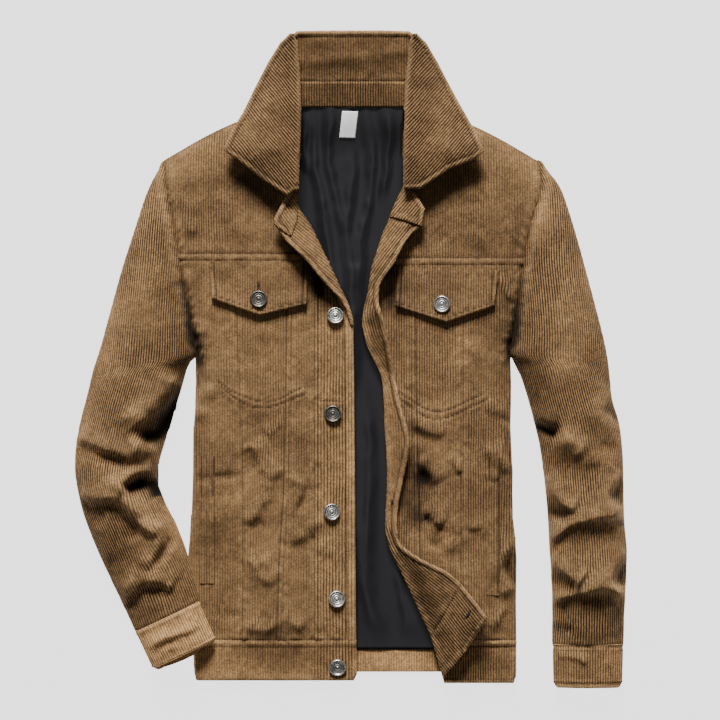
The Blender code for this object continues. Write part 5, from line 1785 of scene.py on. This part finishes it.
@dataclass
class TackButton:
    """A turned metal button with rings and a small centre."""

    spot: ButtonSpot
    radius: float = 10.0
    height: float = 4.6
    steps: int = 40

    def make(self, materials: Finishes) -> None:
        """Spins the profile and seats the button on the cloth."""
        maker = bmesh.new()
        corners = [maker.verts.new((r * self.radius * MM, 0.0, h * self.height * MM))
                   for r, h in BUTTON_PROFILE]
        edges = [maker.edges.new(pair) for pair in zip(corners, corners[1:])]
        bmesh.ops.spin(maker, geom=[*corners, *edges], cent=(0, 0, 0), axis=(0, 0, 1), angle=math.tau,
                       steps=self.steps, use_merge=True)
        bmesh.ops.remove_doubles(maker, verts=maker.verts[:], dist=1e-6)
        bmesh.ops.recalc_face_normals(maker, faces=maker.faces[:])
        form = FRONT_RIGHT if self.spot.x < 0 else FRONT_LEFT
        x = self.spot.x + np.array((0, 3, -3, 0, 0))
        y = self.spot.y + np.array((0, 0, 0, 3, -3))
        z = form.top(x, y) + self.spot.lift
        normal = Vector((6.0, 0.0, z[1] - z[2])).cross(Vector((0.0, 6.0, z[3] - z[4])))
        turn = Vector((0.0, 0.0, 1.0)).rotation_difference(normal).to_matrix().to_4x4()
        seat = Vector((self.spot.x, self.spot.y, float(z[0]) + 0.5)) * MM
        bmesh.ops.transform(maker, matrix=Matrix.Translation(seat) @ turn, verts=maker.verts[:])
        mesh = take_mesh(maker, self.spot.name)
        mesh.shade_smooth()
        mesh.materials.append(materials["button_dark" if self.spot.dark else "button_metal"])
        declare(add_object(self.spot.name + "_metal", mesh), (self.spot.name,), "button_metal")


@dataclass(frozen=True)
class Buttonhole:
    """A worked buttonhole.

    Attributes:
        start: one end, seen from above.
        end: the other end.
        height: height of the cloth.
        width: how far it gapes.
    """

    start: Pair
    end: Pair
    height: Height
    width: float = 1.5


def on_cloth(line: Sequence[Pair], height: Height, step: float = 4.0) -> Array:
    """A line seen from above, put on the cloth."""
    flat = spline(line, step) if len(line) > 2 else straight(line, step)
    return np.column_stack([flat, height(flat[:, 0], flat[:, 1])])


@dataclass
class Topstitching:
    """All visible thread: one small bead for each stitch.

    Attributes:
        runs: lines in space that are sewn.
        holes: the buttonholes.
        pitch: from one stitch to the next.
        share: share of the pitch that a stitch shows.
        size: width and thickness of the thread.
        lift: how far a stitch stands off the cloth.
    """

    runs: list[Array]
    holes: Sequence[Buttonhole]
    pitch: float = 3.3
    share: float = 0.74
    size: Pair = (0.62, 0.5)
    lift: float = 0.06

    def make(self, materials: Finishes) -> None:
        """Builds the thread, and near-black beads that are painted shadow in each buttonhole's slit."""
        thread, slit_shadows = bmesh.new(), bmesh.new()
        for run in self.runs:
            self.sew(thread, run)
        for hole in self.holes:
            centre = on_cloth((hole.start, hole.end), hole.height, 1.0)
            along = centre[-1] - centre[0]
            aside = np.cross((0.0, 0.0, 1.0), along / np.linalg.norm(along))
            for sign in (-1.0, 1.0):
                for point in centre:
                    middle = point + aside * sign * (0.6 + hole.width / 2.0)
                    self.bead(thread, middle - aside * 0.8, middle + aside * 0.8, self.size, 0.45)
            # a near-black bead in the slit: painted shadow
            self.bead(slit_shadows, centre[0], centre[-1], (hole.width, 0.7), 0.55)
        for name, maker, finish in (("topstitching", thread, "thread"),
                                    ("buttonhole_slit_shadows", slit_shadows, "painted_slit_shadow")):
            mesh = take_mesh(maker, name)
            mesh.shade_smooth()
            mesh.materials.append(materials[finish])
            declare(add_object(name, mesh), (), "corduroy")

    def sew(self, maker: Maker, run: Array) -> None:
        """Stitches at even steps along a run."""
        reach = np.concatenate([[0.0], np.cumsum(np.linalg.norm(np.diff(run, axis=0), axis=1))])
        for begin in np.arange(0.3, reach[-1] - self.pitch, self.pitch):
            start, end = (np.array([np.interp(at, reach, column) for column in run.T])
                          for at in (begin, begin + self.pitch * self.share))
            self.bead(maker, start, end, self.size, self.lift)

    @staticmethod
    def bead(maker: Maker, start: Array, end: Array, size: Pair, lift: float) -> None:
        """One stitch as a flattened bead between two points."""
        run = Vector(end - start)
        turn = run.to_track_quat("X", "Z").to_matrix().to_4x4()
        middle = Vector((start + end) / 2.0) + Vector((0.0, 0.0, lift))
        shape = Matrix.Diagonal((run.length * MM, size[0] * MM, size[1] * MM, 1.0))
        bmesh.ops.create_icosphere(maker, subdivisions=1, radius=0.5,
                                   matrix=Matrix.Translation(middle * MM) @ turn @ shape)


BARS = {
    Side.RIGHT: (((-177, -193), (-166, -193)), ((-177, -213), (-166, -213))),
    Side.LEFT: (((144, -200), (154, -200)), ((176, -202), (186, -202)), ((164, -277.5), (177.5, -274)),
                ((155, -166), (167, -172))),
}


def pocket_runs() -> list[Array]:
    """Stitching of the pocket bags, the tacks and the bars, which crosses several pieces."""
    right, left = FRONT_RIGHT.top, FRONT_LEFT.top
    lines = (
        *((line, right) for line in SEWN[Side.RIGHT]), *((line, left) for line in SEWN[Side.LEFT]),
        (((-60, 331), (4, 331), (68, 331)), fall_back_height),
        *((line, right) for line in BARS[Side.RIGHT]), *((line, left) for line in BARS[Side.LEFT]),
        *((line, welt_height(FRONT_RIGHT, -262)) for line in BOXES[Side.RIGHT]),
        *((line, welt_height(FRONT_LEFT, -275)) for line in BOXES[Side.LEFT]),
    )
    return [on_cloth(line, height) for line, height in lines]


def box_sides(left: float, right: float, top: float, bottom: float) -> tuple[tuple[Pair, ...], ...]:
    """The four sides of a box of stitches."""
    corners = ((left, top), (right, top), (right, bottom), (left, bottom), (left, top))
    return tuple(zip(corners, corners[1:]))


BOXES = {
    Side.RIGHT: (*box_sides(-174, -159.5, -113.5, -137), *box_sides(-174, -160.5, -139, -161)),
    Side.LEFT: (*box_sides(162.5, 173.4, -114.5, -139.5), ((162.5, -153.5), (173.4, -153.5)),
                ((173.4, -140), (172.4, -272))),
}


BUTTONHOLES = (
    Buttonhole((64.5, 166), (69, 160), over(FRONT_LEFT), 2.0),
    Buttonhole((49, -163), (49, -170), FRONT_LEFT.turned),
    Buttonhole((140.5, -293), (135.5, -301.5), FRONT_LEFT.turned, 2.8),
    Buttonhole((-107, 92), (-107, 82), FRONT_RIGHT.lying(FLAP_LIFT)),
)


# ---- materials
class Nodes:
    """Short hand for a material's node tree."""

    def __init__(self, name: str) -> None:
        self.material = bpy.data.materials.new(name)
        self.material.use_nodes = True
        self.tree = self.material.node_tree
        self.shader = self.tree.nodes["Principled BSDF"]

    def add(self, kind: str, **settings: object) -> bpy.types.Node:
        """A node with its properties."""
        node = self.tree.nodes.new(kind)
        for key, value in settings.items():
            setattr(node, key, value)
        return node

    def feed(self, sockets: Sequence[Socket], values: Sequence[object]) -> None:
        """Links each socket to another one, or gives it a plain value."""
        for socket, value in zip(sockets, values):
            if isinstance(value, Socket):
                self.tree.links.new(value, socket)
            else:
                socket.default_value = value

    def math(self, operation: str, first: object, second: object = 0.5, clamp: bool = False) -> Socket:
        """A math node on sockets or numbers."""
        node = self.add("ShaderNodeMath", operation=operation, use_clamp=clamp)
        self.feed(node.inputs, (first, second))
        return node.outputs[0]

    def noise(self, coordinates: Socket, scale: float, detail: float = 3.0,
              squash: tuple[float, float, float] = (1, 1, 1)) -> Socket:
        """Noise at a scale, stretched by squash."""
        mapping = self.add("ShaderNodeMapping")
        self.feed([mapping.inputs[key] for key in ("Vector", "Scale")], (coordinates, squash))
        node = self.add("ShaderNodeTexNoise")
        self.feed([node.inputs[key] for key in ("Vector", "Scale", "Detail")],
                  (mapping.outputs[0], scale, detail))
        return node.outputs["Fac"]

    def ramp(self, value: Socket, low: float, high: float, out_low: float = 0.0,
             out_high: float = 1.0) -> Socket:
        """The value mapped from one range to another with soft ends."""
        node = self.add("ShaderNodeMapRange", interpolation_type="SMOOTHSTEP")
        self.feed(node.inputs, (value, low, high, out_low, out_high))
        return node.outputs[0]

    def mix(self, factor: object, first: object, second: object) -> Socket:
        """A mix of two colours."""
        node = self.add("ShaderNodeMix", data_type="RGBA")
        self.feed([node.inputs[index] for index in (0, 6, 7)], (factor, first, second))
        return node.outputs[2]

    def attribute(self, name: str) -> Socket:
        """A number stored on the mesh."""
        return self.add("ShaderNodeAttribute", attribute_name=name, attribute_type="GEOMETRY").outputs["Fac"]

    def cloth(self) -> Socket:
        """Place on the cloth, counted in wales."""
        return self.add("ShaderNodeUVMap", uv_map="cloth").outputs[0]

    def place(self) -> Socket:
        """Place in the object."""
        return self.add("ShaderNodeTexCoord").outputs["Object"]

    def shade(self, **values: object) -> None:
        """Feeds the shader's inputs, with _ for each space in a name."""
        for name, value in values.items():
            self.feed([self.shader.inputs[name.replace("_", " ")]], [value])

    def tint(self, colour: object, light: Socket) -> None:
        """Gives the shader a colour times a light."""
        node = self.add("ShaderNodeVectorMath", operation="SCALE")
        self.feed((node.inputs[0], node.inputs["Scale"]), (colour, light))
        self.shade(Base_Color=node.outputs[0])

    def bump(self, height: Socket, strength: float, distance: float) -> None:
        """Gives the shader a fine bump."""
        node = self.add("ShaderNodeBump")
        self.feed([node.inputs[key] for key in ("Height", "Strength", "Distance")],
                  (height, strength, distance))
        self.shade(Normal=node.outputs[0])


CHARCOAL = (0.0075, 0.0075, 0.0095)
# colour in linear values, roughness, share of metal and share of dirt
PLAIN_FINISHES = {
    "label": ((0.93, 0.93, 0.92), 0.7, 0.0, 0.06),
    # the thread's dark brown stands partly for the shade of the groove it lies in: partly painted shade
    "thread": ((0.06, 0.034, 0.015), 0.8, 0.0, 0.2),
    # near-black finish of the beads in the buttonholes: painted shadow
    "painted_slit_shadow": ((0.004, 0.003, 0.002), 0.95, 0.0, 0.2),
    "button_metal": ((0.62, 0.60, 0.55), 0.42, 1.0, 0.45),
    "button_dark": ((0.24, 0.22, 0.19), 0.48, 1.0, 0.5),
}


@dataclass(frozen=True)
class Pile:
    """Colours of the corduroy in linear values: on the wales, in the grooves (partly painted shade) and on
    worn edges, which also serves for painted highlights.
    """

    ridge: tuple[float, float, float, float] = (0.240, 0.136, 0.0595, 1.0)
    # colour in the grooves between the wales: partly painted shade
    groove_and_shade: tuple[float, float, float, float] = (0.017, 0.0085, 0.0032, 1.0)
    # colour of worn edges, also used for painted highlights
    worn: tuple[float, float, float, float] = (0.40, 0.245, 0.115, 1.0)


def corduroy_material(pile: Pile) -> bpy.types.Material:
    """Soft cut pile on wales, brushed unevenly, with painted shade in the grooves and from the mesh, lighter
    at worn edges and at painted highlights.
    """
    nodes = Nodes("corduroy")
    cloth_map, place = nodes.cloth(), nodes.place()
    split = nodes.add("ShaderNodeSeparateXYZ")
    nodes.feed(split.inputs, [cloth_map])
    phase = nodes.math("FRACT", split.outputs[0])
    groove_and_shade = nodes.math("ABSOLUTE", nodes.math("SUBTRACT", nodes.math("MULTIPLY", phase, 2.0), 1.0))
    ribbing = nodes.attribute("ribbing")
    streaks = nodes.noise(cloth_map, 1.0, 4.0, (1.6, 0.22, 1.0))
    tufts = nodes.noise(cloth_map, 2.6, 3.0, (1.0, 1.0, 1.0))
    brushed = nodes.noise(place, 26.0, 4.0)
    speckle = nodes.noise(place, 480.0, 3.0)
    groove_and_shade = nodes.math("ADD", groove_and_shade, nodes.ramp(streaks, 0.2, 0.8, -0.16, 0.16))
    depth = nodes.ramp(groove_and_shade, 0.22, 0.92)
    depth = nodes.math("MULTIPLY", depth, ribbing, clamp=True)
    # the grooves between the wales are darker, partly as painted shade
    colour = nodes.mix(depth, pile.ridge, pile.groove_and_shade)
    # lighter towards the worn colour at worn edges, partly painted highlight, and at painted highlights on
    # crease ridges
    colour = nodes.mix(nodes.math("MULTIPLY", nodes.attribute("wear_and_highlight"), 0.38, clamp=True), colour, pile.worn)
    cloudy = nodes.noise(place, 170.0, 2.0)
    light = nodes.ramp(brushed, 0.25, 0.75, 0.76, 1.20)
    for noise, spread in ((tufts, (0.2, 0.8, 0.72, 1.28)), (speckle, (0.25, 0.75, 0.68, 1.32)),
                          (cloudy, (0.3, 0.7, 0.84, 1.16))):
        light = nodes.math("MULTIPLY", light, nodes.ramp(noise, *spread))
    # painted light of the piece and painted shade of seams, stitches, crevices, crease hollows and shadows
    light = nodes.math("MULTIPLY", light, nodes.attribute("shade"))
    nodes.tint(colour, light)
    nodes.shade(Roughness=0.92, Specular_IOR_Level=0.15, Sheen_Weight=0.18, Sheen_Roughness=0.45,
                Sheen_Tint=(0.7, 0.46, 0.26, 1.0))
    nodes.bump(nodes.math("ADD", tufts, nodes.math("MULTIPLY", speckle, 0.6)), 0.5, 0.0004)
    return nodes.material


def lining_material() -> bpy.types.Material:
    """Charcoal twill with a faint sheen."""
    nodes = Nodes("lining")
    weave = nodes.noise(nodes.place(), 1400.0, 2.0, (1.0, 0.4, 1.0))
    patches = nodes.noise(nodes.cloth(), 0.12, 3.0)
    uneven = [nodes.ramp(noise, 0.2, 0.8, 0.85, 1.15) for noise in (weave, patches)]
    nodes.tint(CHARCOAL, nodes.math("MULTIPLY", *uneven))
    nodes.shade(Roughness=0.38, Specular_IOR_Level=0.4, Sheen_Weight=0.1)
    nodes.bump(weave, 0.25, 0.0002)
    return nodes.material


def plain_material(name: str, colour: tuple[float, float, float], roughness: float, metallic: float,
                   grime: float) -> bpy.types.Material:
    """A finish with uneven dirt."""
    nodes = Nodes(name)
    place = nodes.place()
    nodes.tint(colour, nodes.ramp(nodes.noise(place, 320.0, 5.0), 0.35, 0.65, 1.0 - grime, 1.0))
    rough = nodes.ramp(nodes.noise(place, 800.0, 3.0), 0.3, 0.7, roughness * 0.8, min(1.0, roughness * 1.25))
    nodes.shade(Roughness=rough, Metallic=metallic)
    return nodes.material


def make_materials() -> Finishes:
    """All finishes by name."""
    return {
        "corduroy": corduroy_material(Pile()),
        "lining": lining_material(),
        **{name: plain_material(name, *finish) for name, finish in PLAIN_FINISHES.items()},
    }


# ---- studio
@dataclass
class Studio:
    """A pale floor, a low soft key light from the collar's side, a fill above and the camera."""

    floor_glow: float = 2.24
    floor_tone: float = 0.1
    floor_drop: float = 0.0002
    world_glow: float = 0.05
    camera_at: tuple[float, float, float] = (0.0113, -0.0002, 3.993)
    lens: float = 170.0

    def make(self) -> None:
        """Builds the floor, the lights, the world and the camera."""
        self.make_floor()
        self.light("key", (-0.4, 6.02, 3.26), 2.0, 1180.0)
        self.light("fill", (0.0, -0.3, 4.6), 3.4, 24.0)
        world = bpy.data.worlds.new("studio")
        bpy.context.scene.world = world
        world.use_nodes = True
        world.node_tree.nodes["Background"].inputs[0].default_value = (1, 1, 1, 1)
        world.node_tree.nodes["Background"].inputs[1].default_value = self.world_glow
        lens = bpy.data.cameras.new("camera")
        lens.lens = self.lens
        lens.sensor_width = 36.0
        lens.clip_end = 20.0
        camera = add_object("camera", lens)
        camera.location = self.camera_at
        bpy.context.scene.camera = camera

    def make_floor(self) -> None:
        """The floor, mostly evenly lit by itself, with faint soft shadows."""
        maker = bmesh.new()
        bmesh.ops.create_grid(maker, x_segments=2, y_segments=2, size=3.0)
        mesh = take_mesh(maker, "floor")
        floor = add_object("floor", mesh)
        floor.location = (0.0, 0.0, -self.floor_drop)
        nodes = Nodes("floor")
        nodes.shade(Base_Color=(self.floor_tone,) * 3 + (1,), Roughness=1.0, Specular_IOR_Level=0.0,
                    Emission_Color=(1, 1, 1, 1), Emission_Strength=self.floor_glow)
        mesh.materials.append(nodes.material)

    @staticmethod
    def light(name: str, place: tuple[float, float, float], size: float, power: float) -> None:
        """A square soft light aimed at the jacket."""
        data = bpy.data.lights.new(name, "AREA")
        data.size = size
        data.energy = power
        lamp = add_object(name, data)
        lamp.location = place
        lamp.rotation_euler = (-Vector(place)).to_track_quat("-Z", "Y").to_euler()


def main() -> None:
    """Loads the frame and builds the jacket and the studio."""
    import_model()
    materials = make_materials()
    # the last value of each sleeve is its cuff's painted light, a brightness factor on the pile's colour
    sleeves = [
        Sleeve("right", SLEEVE_RIGHT, CREASES_SLEEVE_RIGHT, SIDE_RIGHT, ramp,
               ((-251.8, -318.2), (-177.8, -282.4), (-157.5, -327), (-231, -362)), 19.0, 6.0,
               CREASES_CUFF_RIGHT, 2.6),
        Sleeve("left", SLEEVE_LEFT, CREASES_SLEEVE_LEFT, SIDE_LEFT, level(0.0),
               ((320, -333.6), (237, -333.6), (238, -382.5), (318.5, -382.5)), 21.0, 0.0,
               CREASES_CUFF_LEFT, 1.4),
    ]
    groups = [Back(), RightFront(), LeftFront(), TurnedEdges(), Pockets(), *sleeves, Collar(), Lining()]
    runs = pocket_runs()
    for group in groups:
        for piece in group.pieces():
            make_piece(piece, materials)
            for border in piece.borders:
                runs += border.runs(piece.chart, piece.outline) if border.stitches else []
    for sleeve in sleeves:
        runs += sleeve.make_cuff(materials)
    Topstitching(runs, BUTTONHOLES).make(materials)
    for spot in BUTTONS:
        TackButton(spot).make(materials)
    Studio().make()


if __name__ == "__main__":
    main()
